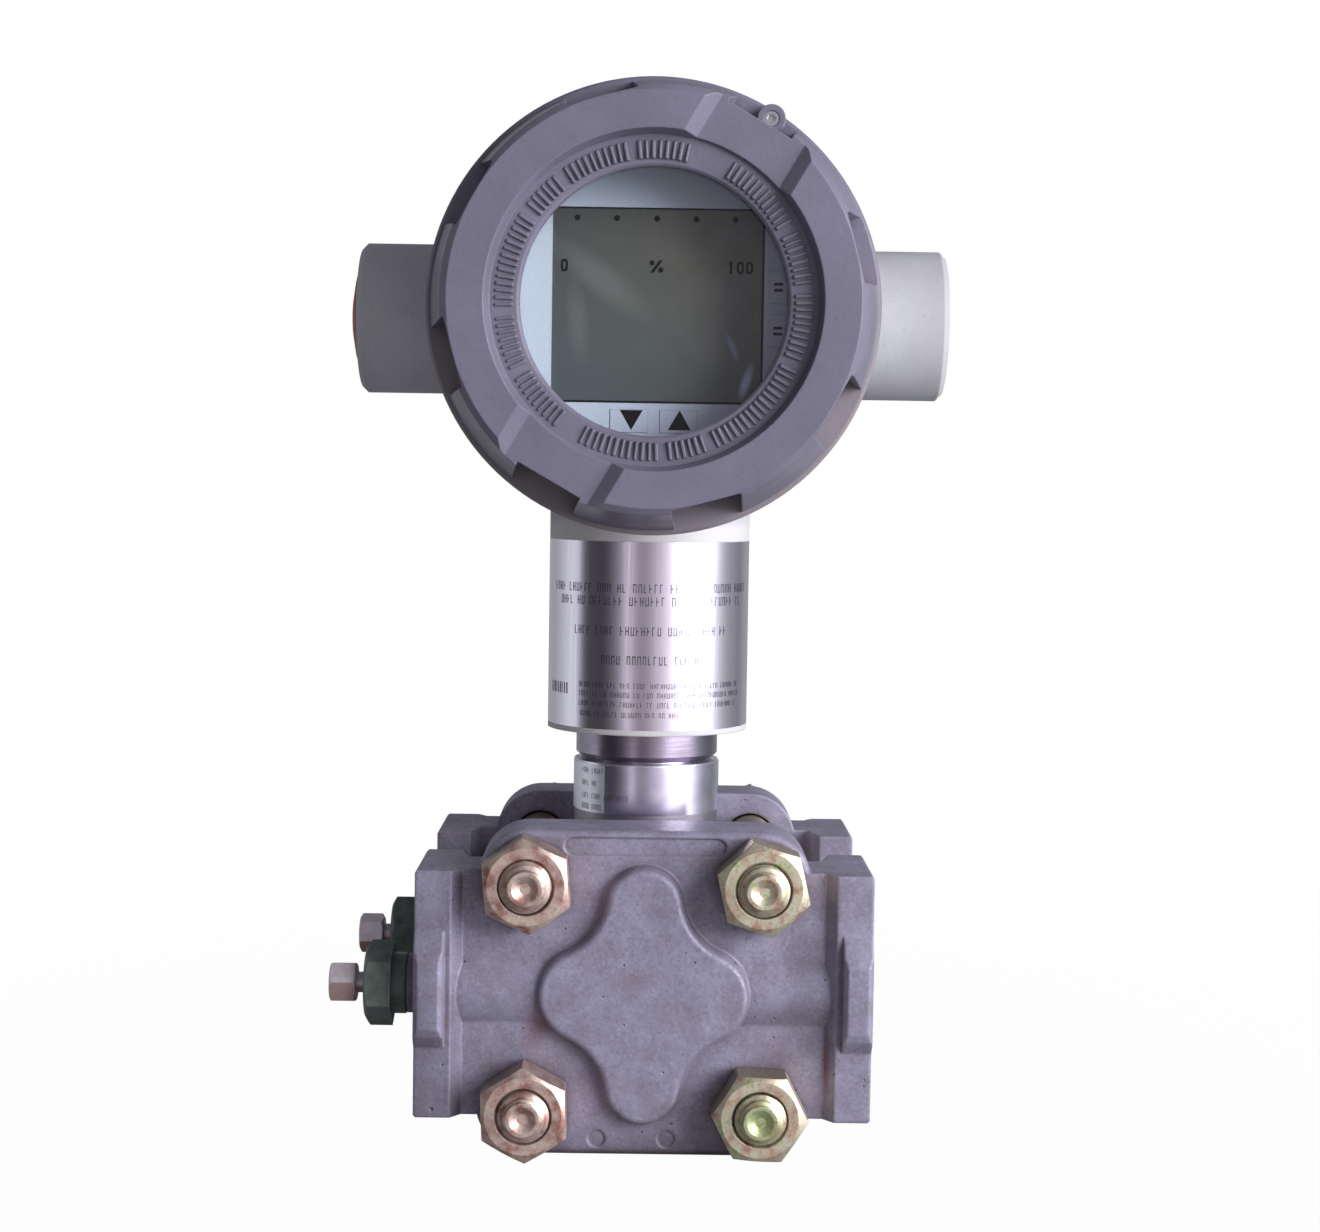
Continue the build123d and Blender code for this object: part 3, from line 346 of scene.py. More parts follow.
def print_line(start, end, middle, height, pitch, seed):
    """A line of print as plain upright ticks and level bars in groups, over an arc in degrees."""
    draw = random.Random(seed)
    low, high = middle - height / 2, middle + height / 2
    thin, level = pitch * stroke_share, height * level_share
    bars = []
    at = start
    left = first_group
    while at + pitch < end:
        at += pitch
        if left == 0:
            left = draw.randint(*later_groups)
            continue
        left -= 1
        bars.append((at, at + thin, low, high))
        if draw.random() < second_stroke_odds:
            bars.append((at + pitch * 0.5, at + pitch * 0.5 + thin, low, high))
        floor_of_bar = draw.choice((low, middle - level / 2, high - level))
        bars.append((at + thin, at + pitch * 0.5, floor_of_bar, floor_of_bar + level))
    return bars


def paper_finish():
    """The label's pale printed field, half matt."""
    material, tree, surface = start_finish("label_field", metallic=0.9, roughness=0.42)
    cloud = grain(tree, 2.0, 3.0)
    colour = mix(tree, span(tree, cloud, 0.3, 0.7), shade(250, 250, 255), shade(240, 240, 255))
    tree.links.new(colour, surface.inputs["Base Color"])
    return material


dress(["neck_label"], foil_label_finish())
field_radius = label_radius + label_ink_lift / 2
bars_round_z("neck_label_field", field_radius, [label_field], "sensor", paper_finish())
label_ink = ink_finish("label_ink", shade(104, 100, 112), 0.5)
label_bars = []
for row, (z, start, end) in enumerate(label_print):
    label_bars += print_line(start, end, z, *label_line, row)
bars_round_z("neck_label_print", label_radius + label_ink_lift, label_bars, "sensor", label_ink)

# Head bolts: four 7/16 in screws through both heads, of yellow-passivated zinc plate. The
# fine thread is rolled and runs out over the coned end, which is dimpled.
TURN = 2 * math.pi
bolt_radius = 5.5
bolt_pitch = 1.27
bolt_thread_depth = 0.78
bolt_spacing = (49.0, 47.8)
bolt_middle = 34.4
bolt_tip = -50.1
bolt_seat = 38.0
bolt_head_height = 7.0
bolt_head_flats = 17.46
face_share = 0.92
chamfer_angle = 30
sharp_angle = 25
bolt_tip_radius = 3.6
bolt_tip_length = 2.4
bolt_dimple = (2.8, 0.8)
dimple_floor = 0.4
thread_turns = 13
thread_tip_share = 0.6
thread_run_in = 1 / 3
thread_run_out = 1.5
thread_flank = 1.25
thread_land = 0.1
bolt_steps = 60
thread_steps = 8
bolt_turns = (15.0, 85.0, 155.0, 225.0)
side_blend = (-6.0, 6.0)
green_film = ((24.5, -50.0, 10.5), (7.0, 5.0, 7.0))


def zinc_finish():
    """Yellow-passivated zinc: straw, rose and green films over bright metal, with painted shade on the faces that look
    up and left and in the corners, and pale edges.
    """
    material, tree, surface = start_finish("zinc_plate", metallic=0.7, roughness=0.38)
    film = grain(tree, 2.6, 4.0)
    where = add(tree, "SeparateXYZ", {0: place(tree)})
    lean = span(tree, where.outputs["X"], side_blend[0] * MM, side_blend[1] * MM)
    left = ramp(tree, film, [
        (0.36, shade(190, 142, 130)), (0.48, shade(218, 186, 174)),
        (0.60, shade(232, 208, 196)), (0.72, shade(214, 206, 172)),
    ])
    right = ramp(tree, film, [
        (0.32, shade(204, 162, 140)), (0.44, shade(226, 208, 180)),
        (0.58, shade(230, 226, 200)), (0.68, shade(188, 204, 140)),
    ])
    colour = mix(tree, lean, left, right)
    green = span(tree, spot(tree, *green_film), 0.0, 0.7, 0.0, 0.6)
    colour = mix(tree, green, colour, shade(176, 208, 126))
    fine = grain(tree, 0.6, 4.0, offset=0.017)
    colour = mix(tree, span(tree, fine, 0.56, 0.72, 0.0, 0.4), colour, shade(112, 88, 78))
    colour = mix(tree, span(tree, fine, 0.40, 0.28, 0.0, 0.5), colour, shade(250, 242, 236))
    # Painted shade: the faces that look up and to the left darkened to olive, as they turn from the light.
    facing = add(tree, "NewGeometry").outputs["True Normal"]
    up_left_shade = add(tree, "VectorMath", {0: facing, 1: (-0.5, 0.0, 0.87)}, operation="DOT_PRODUCT").outputs["Value"]
    colour = mix(tree, span(tree, up_left_shade, 0.35, 0.8, 0.0, 0.65), colour, shade(96, 92, 70))
    # Pale edges, partly socket wear and partly a painted highlight on the chamfers.
    colour = mix(tree, span(tree, edge_wear_and_highlight(tree, 0.35), 0.0, 1.0, 0.0, 0.6), colour, shade(240, 234, 230))
    # Painted shade: the corners round the bolts darkened nearly to black.
    corner = span(tree, corner_shade(tree, 1.2), 0.3, 0.9, 0.55, 0.0)
    colour = mix(tree, corner, colour, shade(48, 36, 32))
    tree.links.new(colour, surface.inputs["Base Color"])
    tree.links.new(span(tree, film, 0.3, 0.7, 0.34, 0.50), surface.inputs["Roughness"])
    skin = relief(tree, grain(tree, 0.9, 4.0), 0.05, soft_edge(tree, 0.3))
    tree.links.new(skin, surface.inputs["Normal"])
    return material


def ring_of(mesh, radii, depth, centre, turn=0.0):
    """One ring of vertices about a bolt's axis. depth is one Y or one for each vertex."""
    count = len(radii)
    depths = depth if isinstance(depth, list) else [depth] * count
    ring = []
    for i in range(count):
        angle = TURN * i / count + math.radians(turn)
        x = centre[0] + radii[i] * math.cos(angle)
        z = centre[1] + radii[i] * math.sin(angle)
        ring.append(mesh.verts.new((x * MM, depths[i] * MM, z * MM)))
    return ring


def bridge(mesh, first, second):
    """Faces between two rings with as many vertices."""
    for i in range(len(first)):
        j = (i + 1) % len(first)
        mesh.faces.new((first[i], first[j], second[j], second[i]))


def hexagon(flats, count):
    """A hexagon's radius at evenly spaced angles, from one corner on."""
    return [flats / 2 / math.cos((TURN * i / count) % (math.pi / 3) - math.pi / 6) for i in range(count)]


def turned_off(face, radii, flats, way):
    """Where the chamfer of a hexagon's face meets its flats. way points into the metal."""
    rim = face_share * flats / 2
    slope = math.tan(math.radians(chamfer_angle))
    return [face + way * (radius - rim) * slope for radius in radii]


def add_bolt(mesh, centre, turn):
    """One bolt: rolled thread, plain shank and chamfered hexagon head."""
    around = bolt_steps
    rings = []
    for k in range(thread_turns * thread_steps + 1):
        along = k / thread_steps
        cone = min(1.0, along * bolt_pitch / bolt_tip_length)
        crest = bolt_tip_radius + cone * (bolt_radius - bolt_tip_radius)
        share = thread_tip_share + (1 - thread_tip_share) * cone
        depth = bolt_thread_depth * share * min(1.0, along / thread_run_in, (thread_turns - along) / thread_run_out)
        radii = []
        for i in range(around):
            wave = abs(((along + i / around) % 1.0) * 2 - 1)
            radii.append(crest - depth * min(1.0, max(0.0, wave * thread_flank - thread_land)))
        rings.append(ring_of(mesh, radii, bolt_tip + along * bolt_pitch, centre, turn))
    rings.append(ring_of(mesh, [bolt_radius] * around, bolt_seat, centre, turn))
    corner = hexagon(bolt_head_flats, around)
    top = bolt_seat + bolt_head_height
    rim = [face_share * bolt_head_flats / 2] * around
    rings.append(ring_of(mesh, corner, bolt_seat, centre, turn))
    rings.append(ring_of(mesh, corner, turned_off(top, corner, bolt_head_flats, -1), centre, turn))
    rings.append(ring_of(mesh, rim, top, centre, turn))
    for first, second in zip(rings, rings[1:]):
        bridge(mesh, first, second)
    mesh.faces.new(rings[-1])
    lip = ring_of(mesh, [bolt_dimple[0]] * around, bolt_tip, centre, turn)
    bridge(mesh, lip, rings[0])
    deep = ring_of(mesh, [bolt_dimple[0] * dimple_floor] * around, bolt_tip + bolt_dimple[1], centre, turn)
    bridge(mesh, deep, lip)
    mesh.faces.new(reversed(deep))


bolt_centres = [
    (sx * bolt_spacing[0] / 2, bolt_middle + sz * bolt_spacing[1] / 2) for sz in (1, -1) for sx in (-1, 1)
]
zinc_plate = zinc_finish()
bolts = bmesh.new()
for centre, turn in zip(bolt_centres, bolt_turns):
    add_bolt(bolts, centre, turn)
bolt_piece = finish_piece(bolts, "head_bolts_threaded", "sensor", zinc_plate, auto_angle=sharp_angle)
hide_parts("head_bolts")

# Head nuts: heavy hexagon nuts of the same plated steel, hot forged and chamfered on both
# faces, run down on the front head and left scuffed by the socket.
nut_front = -47.5
nut_back = -38.0
nut_flats = 17.46
nut_bore = 5.56
nut_mouth = (6.0, 0.45)
nut_turns = (35.0, 43.0, 32.0, 57.0)


def add_nut(mesh, centre, turn):
    """One nut, its hexagon from face to face and its bore back again."""
    around = bolt_steps
    corner = hexagon(nut_flats, around)
    rim = [face_share * nut_flats / 2] * around
    bore = [nut_bore] * around
    rings = [
        ring_of(mesh, rim, nut_back, centre, turn),
        ring_of(mesh, corner, turned_off(nut_back, corner, nut_flats, -1), centre, turn),
        ring_of(mesh, corner, turned_off(nut_front, corner, nut_flats, 1), centre, turn),
        ring_of(mesh, rim, nut_front, centre, turn),
        ring_of(mesh, [nut_mouth[0]] * around, nut_front, centre, turn),
        ring_of(mesh, bore, nut_front + nut_mouth[1], centre, turn),
        ring_of(mesh, bore, nut_back, centre, turn),
    ]
    for first, second in zip(rings, rings[1:] + rings[:1]):
        bridge(mesh, first, second)


nuts = bmesh.new()
for centre, turn in zip(bolt_centres, nut_turns):
    add_nut(nuts, centre, turn)
nut_piece = finish_piece(nuts, "head_nuts_forged", "sensor", zinc_plate, auto_angle=sharp_angle)
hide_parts("head_nuts")

# Vents: each port is closed on the left by a steel plug with a green-painted bushing, and
# a bleed screw of bright steel runs in the bushing. The spanner has chipped the paint.
def green_paint_finish():
    """Dark green enamel, worn through at the edges, with painted shade in its corners."""
    material, tree, surface = start_finish("green_paint", metallic=0.0, roughness=0.4)
    cloud = grain(tree, 2.6, 4.0)
    colour = ramp(tree, cloud, [(0.36, shade(91, 102, 96)), (0.50, shade(101, 114, 108)), (0.66, shade(111, 124, 117))])
    edge = span(tree, edge_wear_and_highlight(tree, 0.7), 0.2, 0.8, 0.0, 0.8)
    colour = mix(tree, edge, colour, shade(150, 162, 150))
    # Painted shade: the corners darkened nearly to black.
    corner = span(tree, corner_shade(tree, 2.5), 0.3, 0.9, 0.5, 0.0)
    colour = mix(tree, corner, colour, shade(26, 26, 28))
    tree.links.new(colour, surface.inputs["Base Color"])
    tree.links.new(relief(tree, cloud, 0.06, soft_edge(tree, 0.35)), surface.inputs["Normal"])
    return material


def vent_steel_finish():
    """Turned steel, with brown painted shade where it faces down and in its corners."""
    material, tree, surface = start_finish("vent_steel", metallic=0.4, roughness=0.4)
    cloud = grain(tree, 1.6, 3.0)
    colour = ramp(tree, cloud, [
        (0.36, shade(236, 222, 226)), (0.50, shade(242, 232, 240)), (0.66, shade(246, 240, 250)),
    ])
    # Painted shade: the faces that look down made brown and darker.
    facing = add(tree, "SeparateXYZ", {0: add(tree, "NewGeometry").outputs["True Normal"]}).outputs["Z"]
    colour = mix(tree, span(tree, facing, 0.0, -0.4, 0.0, 0.85), colour, shade(188, 140, 122))
    # Painted shade: the corners darkened to brown.
    corner = span(tree, corner_shade(tree, 2.0), 0.3, 0.9, 0.6, 0.0)
    colour = mix(tree, corner, colour, shade(112, 84, 70))
    colour = mix(tree, span(tree, edge_wear_and_highlight(tree, 0.25), 0.0, 1.0, 0.0, 0.5), colour, shade(246, 238, 236))
    tree.links.new(colour, surface.inputs["Base Color"])
    tree.links.new(relief(tree, cloud, 0.02, soft_edge(tree, 0.25)), surface.inputs["Normal"])
    return material


dress(["vent_bushing_front", "vent_bushing_rear"], green_paint_finish())
dress(["vent_screw_front", "vent_screw_rear"], vent_steel_finish())
dress(["port_plug_front", "port_plug_rear"], cast_steel)

# Housing: a die-cast aluminium barrel with its neck and two conduit bosses, under a light
# beige-grey powder coat with a fine orange peel. It turns on the spigot's thread.
def powder_coat_finish(name, tone, dark, peel, roughness=0.5, edge=0.5, extra=None):
    """Powder coat with orange peel, painted shade in the corners, and pale edges that are partly worn paint and partly
    a painted highlight.
    """
    material, tree, surface = start_finish(name, metallic=0.0, roughness=roughness, Specular_IOR_Level=0.4)
    cloud = grain(tree, 18.0, 4.0)
    colour = mix(tree, span(tree, cloud, 0.35, 0.68), tone, dark)
    fleck = span(tree, grain(tree, 0.8, 2.0), 0.60, 0.74, 0.0, 0.22)
    colour = mix(tree, fleck, colour, tuple(c * 0.6 for c in dark[:3]) + (1.0,))
    # Painted shade: the inner corners darkened.
    corner = span(tree, corner_shade(tree, 4.0), 0.3, 0.9, 0.4, 0.0)
    colour = mix(tree, corner, colour, tuple(c * 0.3 for c in dark[:3]) + (1.0,))
    # Pale edges, partly worn paint and partly a painted highlight.
    worn_and_highlit = span(tree, edge_wear_and_highlight(tree, edge), 0.3, 1.0, 0.0, 0.35)
    colour = mix(tree, worn_and_highlit, colour, tuple(min(1.0, c * 1.9) for c in tone[:3]) + (1.0,))
    if extra:
        colour = extra(tree, colour)
    tree.links.new(colour, surface.inputs["Base Color"])
    tree.links.new(span(tree, cloud, 0.3, 0.7, roughness - 0.06, roughness + 0.08), surface.inputs["Roughness"])
    skin = relief(tree, grain(tree, 1.3, 2.0), peel, soft_edge(tree, edge))
    tree.links.new(relief(tree, grain(tree, 0.35, 2.0), peel * 0.35, skin), surface.inputs["Normal"])
    return material


rim_light_heights = (133.5, 131.5)


def neck_rim_light(tree, colour):
    """Painted light: the paint is made paler on the neck below the cap, which shows on its two rims above and below the
    foil.
    """
    where = add(tree, "SeparateXYZ", {0: place(tree)})
    below = span(tree, where.outputs["Z"], rim_light_heights[0] * MM, rim_light_heights[1] * MM)
    return mix(tree, below, colour, shade(219, 216, 219))


housing_paint = powder_coat_finish("housing_paint", shade(204, 205, 212), shade(191, 190, 194), 0.05, extra=neck_rim_light)
dress(["housing_body"], housing_paint)

# Dust plug: a moulded red polyethylene plug pressed into the open conduit entry for
# shipping, with a thin flange and a domed face.
dress(["dust_plug"], plain_finish("plug_red", shade(196, 84, 58), 0.0, 0.45, 4.0, 0.15, 0.02))

# Foil sleeve: a sheet of brushed silver foil wrapped round the housing's neck, printed in
# black with plain ticks and bars, and with one small block of bars at the left.
foil_radius = 22.2
foil_ink_lift = 0.03
foil_lines = (
    (118.7, 201, 343, 1.9, 3.0), (115.9, 208, 333, 1.9, 3.0), (109.5, 221, 319, 1.9, 3.0), (103.2, 240, 298, 1.9, 3.0),
    (97.7, 226, 332, 1.15, 1.9), (95.7, 226, 332, 1.15, 1.9), (93.6, 226, 330, 1.15, 1.9), (91.4, 227, 286, 1.15, 1.9),
)
stock_bars = (199.0, 219.0, 95.2, 97.6, 9)
stock_widths = (0.3, 0.42, 0.54)


def brushed_foil_finish():
    """Brushed silver foil, its brushing upright, with soft dents where it was smoothed down."""
    material, tree, surface = start_finish("foil", metallic=1.0, roughness=0.2)
    brushing = grain(tree, 0.4, 2.0, stretch=(1.0, 1.0, 0.02))
    colour = mix(tree, span(tree, brushing, 0.3, 0.7), shade(250, 243, 255), shade(240, 232, 248))
    tree.links.new(colour, surface.inputs["Base Color"])
    tree.links.new(span(tree, brushing, 0.3, 0.7, 0.14, 0.22), surface.inputs["Roughness"])
    tree.links.new(relief(tree, grain(tree, 11.0, 2.0), 0.03), surface.inputs["Normal"])
    return material


dress(["foil_sleeve"], brushed_foil_finish())
foil_bars = []
for seed, (z, start, end, height, pitch) in enumerate(foil_lines):
    foil_bars += print_line(start, end, z, height, pitch, seed)
stock_start, stock_end, stock_low, stock_high, stock_count = stock_bars
stock_step = (stock_end - stock_start) / stock_count
for number in range(stock_count):
    left_edge = stock_start + number * stock_step
    right_edge = left_edge + stock_step * stock_widths[number % len(stock_widths)]
    foil_bars.append((left_edge, right_edge, stock_low, stock_high))
foil_ink = ink_finish("foil_ink", shade(102, 98, 112), 0.75)
bars_round_z("foil_print", foil_radius + foil_ink_lift, foil_bars, "housing", foil_ink)

# Front cap: a die-cast aluminium screw cap with a wrench groove across its face, eight
# wrench pockets round its rim and a glass seat behind, in a darker grey coat. A ring of
# raised ticks stands on the sunk ledge round the window.
cap_axis = 176.7
tick_floor = -68.8
tick_height = 0.75
tick_inner = 27.2
tick_outer = 30.9
tick_width = 0.66
tick_widening = 0.16
tick_slope = 0.12
tick_side_share = 0.6
tick_bevel = 0.1
tick_pitch = 1.32
tick_arcs = ((78.0, 235.0, (4, 5, 3, 7, 4, 6, 5)), (-117.0, 65.0, (6, 3, 8, 5, 4, 8, 6, 5)))
pale_ring_depths = (-53.5, -51.5)
pale_ring_rise = (18.0, -14.0)


def add_tick(mesh, angle, width):
    """One raised tick on the ledge, with sloping sides and a flat top."""
    rows = []
    slope = tick_slope
    top = tick_floor - tick_height
    for y, inset in ((tick_floor, 0.0), (top + tick_bevel, slope), (top, slope + tick_bevel)):
        near, far = tick_inner + inset, tick_outer - inset
        half = width / 2 - inset * tick_side_share
        corners = ((near, -half), (far, -half), (far, half), (near, half))
        row = []
        for out, across in corners:
            x = out * math.cos(angle) - across * math.sin(angle)
            z = out * math.sin(angle) + across * math.cos(angle)
            row.append(mesh.verts.new((x * MM, y * MM, (cap_axis + z) * MM)))
        rows.append(row)
    for first, second in zip(rows, rows[1:]):
        bridge(mesh, first, second)
    mesh.faces.new(rows[-1])
    mesh.faces.new(reversed(rows[0]))


def ring_dust_and_light(tree, colour):
    """The cap's rear ring made a pale, dusty brown low down: the brown is soiling, the paleness painted light."""
    where = add(tree, "SeparateXYZ", {0: place(tree)})
    back = span(tree, where.outputs["Y"], pale_ring_depths[0] * MM, pale_ring_depths[1] * MM, 0.0, 0.75)
    low = span(tree, where.outputs["Z"], (cap_axis + pale_ring_rise[0]) * MM, (cap_axis + pale_ring_rise[1]) * MM)
    low_band = add(tree, "Math", {0: back, 1: low}, operation="MULTIPLY").outputs[0]
    return mix(tree, low_band, colour, shade(170, 158, 150))


cap_tone = (shade(131, 127, 146), shade(119, 115, 133))
cap_paint = powder_coat_finish("cap_paint", *cap_tone, 0.05, 0.34, 0.45, ring_dust_and_light)
dress(["front_cap"], cap_paint)
dress(["rear_cap"], powder_coat_finish("rear_cap_paint", *cap_tone, 0.05, 0.34, 0.45))
ticks = bmesh.new()
middle_radius = (tick_inner + tick_outer) / 2
for start, end, groups in tick_arcs:
    step = math.degrees(tick_pitch / middle_radius)
    places = int((end - start) / step)
    gaps = {sum(groups[:k + 1]) * 2 + k for k in range(len(groups))}
    for number in range(places):
        if number not in gaps:
            add_tick(ticks, math.radians(start + number * step), tick_width + tick_widening * (number % 2))
finish_piece(ticks, "cap_tick_ring", "front_cap", cap_paint, smooth=False)

# Cap lock screw: a small hexagon-socket screw of black steel with a bright rim, run in the
# lug at the upper right, and the O-rings at the root of both caps.
dress(["cap_lock_screw"], plain_finish("lock_screw_steel", shade(226, 226, 232), 1.0, 0.25, 1.0, 0.2))
rubber = plain_finish("seal_rubber", shade(38, 37, 40), 0.0, 0.6, 2.0, 0.25)
dress(["front_cap_seal", "rear_cap_seal", "window_gasket"], rubber)

# Window: a flat disc of toughened glass on a rubber gasket, held by a steel ring with
# spanner notches.
def window_finish():
    """Clear glass: only its front reflection shows, more of it at a slant."""
    material, tree, surface = start_finish("window_glass", metallic=1.0, roughness=0.02)
    smear = grain(tree, 22.0, 3.0)
    surface.inputs["Base Color"].default_value = (1.0, 1.0, 1.0, 1.0)
    gloss = add(tree, "Fresnel", {"IOR": 1.5}).outputs[0]
    haze = span(tree, smear, 0.35, 0.75, 0.0, 0.008)
    sheen = add(tree, "Math", {0: gloss, 1: haze}, operation="ADD").outputs[0]
    paths = add(tree, "LightPath")
    rays = {0: paths.outputs["Is Camera Ray"], 1: paths.outputs["Is Glossy Ray"]}
    seen = add(tree, "Math", rays, operation="MAXIMUM").outputs[0]
    behind = add(tree, "NewGeometry").outputs["Backfacing"]
    front = add(tree, "Math", {0: 1.0, 1: behind}, operation="SUBTRACT").outputs[0]
    shown = add(tree, "Math", {0: seen, 1: front}, operation="MULTIPLY").outputs[0]
    alpha = add(tree, "Math", {0: sheen, 1: shown}, operation="MULTIPLY").outputs[0]
    tree.links.new(alpha, surface.inputs["Alpha"])
    tree.links.new(span(tree, smear, 0.3, 0.7, 0.02, 0.07), surface.inputs["Roughness"])
    return material


dress(["window_glass"], window_finish())
dress(["glass_retainer"], plain_finish("retainer_steel", shade(170, 168, 172), 1.0, 0.35, 2.0, 0.15))

# Display face: a printed polycarbonate plate, silver with a blue cast, in a black case. Its
# liquid-crystal panel has printed scale marks, and it is dead, so it shows no digits.
face_front = -52.0
lcd_size = (42.0, 38.1)
lcd_offset = (0.6, 0.3)
lcd_front = -51.5
lcd_shade_rise = (8.0, -14.0)
ink_lift = 0.04


def face_plate_finish():
    """Silver print on polycarbonate, painted paler at the left and darker at the right, as the cap's rim shades the
    right.
    """
    material, tree, surface = start_finish("face_silver", metallic=0.0, roughness=0.38)
    side = add(tree, "SeparateXYZ", {0: place(tree)}).outputs["X"]
    fine = grain(tree, 0.5, 2.0)
    # Painted light and shade: pale at the left, where light reaches the plate, darker at the right in the rim's shadow.
    colour = ramp(tree, span(tree, side, -0.030, 0.030), [
        (0.0, shade(224, 240, 255)), (0.45, shade(218, 233, 255)), (1.0, shade(196, 200, 220)),
    ])
    colour = mix(tree, span(tree, fine, 0.3, 0.7, 0.0, 0.12), colour, shade(130, 134, 156))
    tree.links.new(colour, surface.inputs["Base Color"])
    tree.links.new(relief(tree, fine, 0.01), surface.inputs["Normal"])
    return material


# Painted reflections on the panel: two pale streaks and two bluish glints, each as x, z, half length, half width,
# slant, strength and colour.
lcd_reflections = (
    (-10.2, 5.2, 14.0, 3.8, -38.0, 0.5, (130, 137, 133)), (-15.2, -3.3, 10.0, 2.6, -84.0, 0.38, (128, 134, 130)),
    (18.7, -14.7, 4.4, 1.2, 72.0, 1.0, (200, 214, 246)), (15.9, -7.8, 3.4, 0.9, -68.0, 0.6, (160, 176, 210)),
)


def lcd_finish():
    """Dead liquid-crystal glass, olive grey, with painted light: lighter to the right and teal low down, pale streaks
    and bluish glints of reflection.
    """
    material, tree, surface = start_finish("lcd_glass", metallic=0.0, roughness=0.12, Specular_IOR_Level=0.3)
    axes = add(tree, "SeparateXYZ", {0: place(tree)})
    across = span(tree, axes.outputs["X"], -0.021, 0.022)
    # Painted light: the panel made lighter towards the right, where the cap's rim shades it.
    colour = ramp(tree, across, [
        (0.0, shade(88, 89, 92)), (0.35, shade(100, 104, 100)),
        (0.7, shade(124, 122, 116)), (1.0, shade(130, 124, 128)),
    ])
    patch = span(tree, grain(tree, 7.0, 3.0), 0.35, 0.65, 0.0, 0.4)
    colour = mix(tree, patch, colour, shade(88, 100, 88))
    # Painted reflection: the panel tinted teal towards the bottom.
    top, bottom = ((cap_axis + rise) * MM for rise in lcd_shade_rise)
    low = span(tree, axes.outputs["Z"], top, bottom, 0.0, 0.55)
    colour = mix(tree, low, colour, shade(88, 104, 108))
    for x, z, half_length, half_width, slant, strength, tone in lcd_reflections:
        streak = spot(tree, (x, lcd_front, cap_axis + z), (half_length, 1.0, half_width), slant)
        colour = mix(tree, span(tree, streak, 0.0, 0.7, 0.0, strength), colour, shade(*tone))
    tree.links.new(colour, surface.inputs["Base Color"])
    return material


dress(["display_face"], face_plate_finish())
dress(["lcd_panel"], lcd_finish())
ink_black = plain_finish("ink_black", shade(16, 16, 22), 0.0, 0.6, 0.6, 0.3)
ink_black.node_tree.nodes["Principled BSDF"].inputs["Specular IOR Level"].default_value = 0.1


def flat_piece(name, outlines, y, body):
    """Thin printed shapes facing the viewer, from outlines of (x, z) points in millimetres."""
    mesh = bmesh.new()
    for outline in outlines:
        mesh.faces.new([mesh.verts.new((x * MM, y * MM, (cap_axis + z) * MM)) for x, z in outline])
    return finish_piece(mesh, name, body, ink_black, smooth=False)


def disc(x, z, radius, count=20):
    """The outline of a round mark."""
    return [(x + radius * math.cos(TURN * i / count), z + radius * math.sin(TURN * i / count)) for i in range(count)]


def box_outline(across, up):
    """The outline of an upright box, from its two x and its two z."""
    return [(across[0], up[0]), (across[1], up[0]), (across[1], up[1]), (across[0], up[1])]


def frame_strips(low_corner, high_corner, widths):
    """The strips of a thin frame round a window, from its corners and its right, top and bottom widths."""
    x_a, z_a = low_corner
    x_b, z_b = high_corner
    right, top, bottom = widths
    return [
        box_outline((x_a, x_b + right), (z_a - bottom, z_a)),
        box_outline((x_a, x_b + right), (z_b, z_b + top)),
        box_outline((x_b, x_b + right), (z_a, z_b)),
    ]


dot_row = 17.6
dot_places = (-15.5, -7.6, 0.4, 8.3, 16.1)
dot_radius = 0.6
border_widths = (0.4, 0.35, 0.45)
lcd_low = (lcd_offset[0] - lcd_size[0] / 2, lcd_offset[1] - lcd_size[1] / 2)
lcd_high = (lcd_offset[0] + lcd_size[0] / 2, lcd_offset[1] + lcd_size[1] / 2)
dots = [disc(x, dot_row, dot_radius) for x in dot_places]
flat_piece("lcd_scale_dots", dots, lcd_front - ink_lift, "housing")
border = frame_strips(lcd_low, lcd_high, border_widths)
flat_piece("lcd_border", border, face_front - ink_lift, "housing")


figure_stroke = 0.45
figure_size = (1.45, 2.5)
figure_pitch = 1.85
figure_row = 8.1
figure_squareness = 0.7
flag_height = 0.6
flag_reach = (0.4, 0.8)
slant_stroke = 0.7
slant_dot = (0.9, 0.7, 0.55)
scale_ends = (-18.0, 17.2)
scale_middle = 0.4


def nought(x, z):
    """A rounded nought as a ring of four-sided pieces."""
    half_w = figure_size[0] / 2
    half_h = figure_size[1] / 2
    around = 20
    rim = []
    for i in range(around):
        across = math.cos(TURN * i / around)
        up = math.sin(TURN * i / around)
        across = math.copysign(abs(across) ** figure_squareness, across)
        up = math.copysign(abs(up) ** figure_squareness, up)
        outer = (x + across * half_w, z + up * half_h)
        inner = (x + across * (half_w - figure_stroke), z + up * (half_h - figure_stroke))
        rim.append((outer, inner))
    return [[rim[i - 1][0], rim[i][0], rim[i][1], rim[i - 1][1]] for i in range(around)]


def one(x, z):
    """A one: an upright stroke with a short flag."""
    top = z + figure_size[1] / 2
    left = x - figure_stroke / 2
    flag = [(left, top), (left, top - flag_height), (left - flag_reach[0], top - flag_reach[1])]
    return [box_outline((left, x + figure_stroke / 2), (z - figure_size[1] / 2, top)), flag]


def per_cent(x, z):
    """A per cent mark: a slanting stroke between two square dots."""
    half_h = figure_size[1] / 2
    left, right, low, high = x - half_h, x + half_h, z - half_h, z + half_h
    marks = [[(left, low), (left + slant_stroke, low), (right, high), (right - slant_stroke, high)]]
    out, down, radius = slant_dot
    for side in (-1, 1):
        marks.append(disc(x + side * out, z - side * down, radius, 8))
    return marks


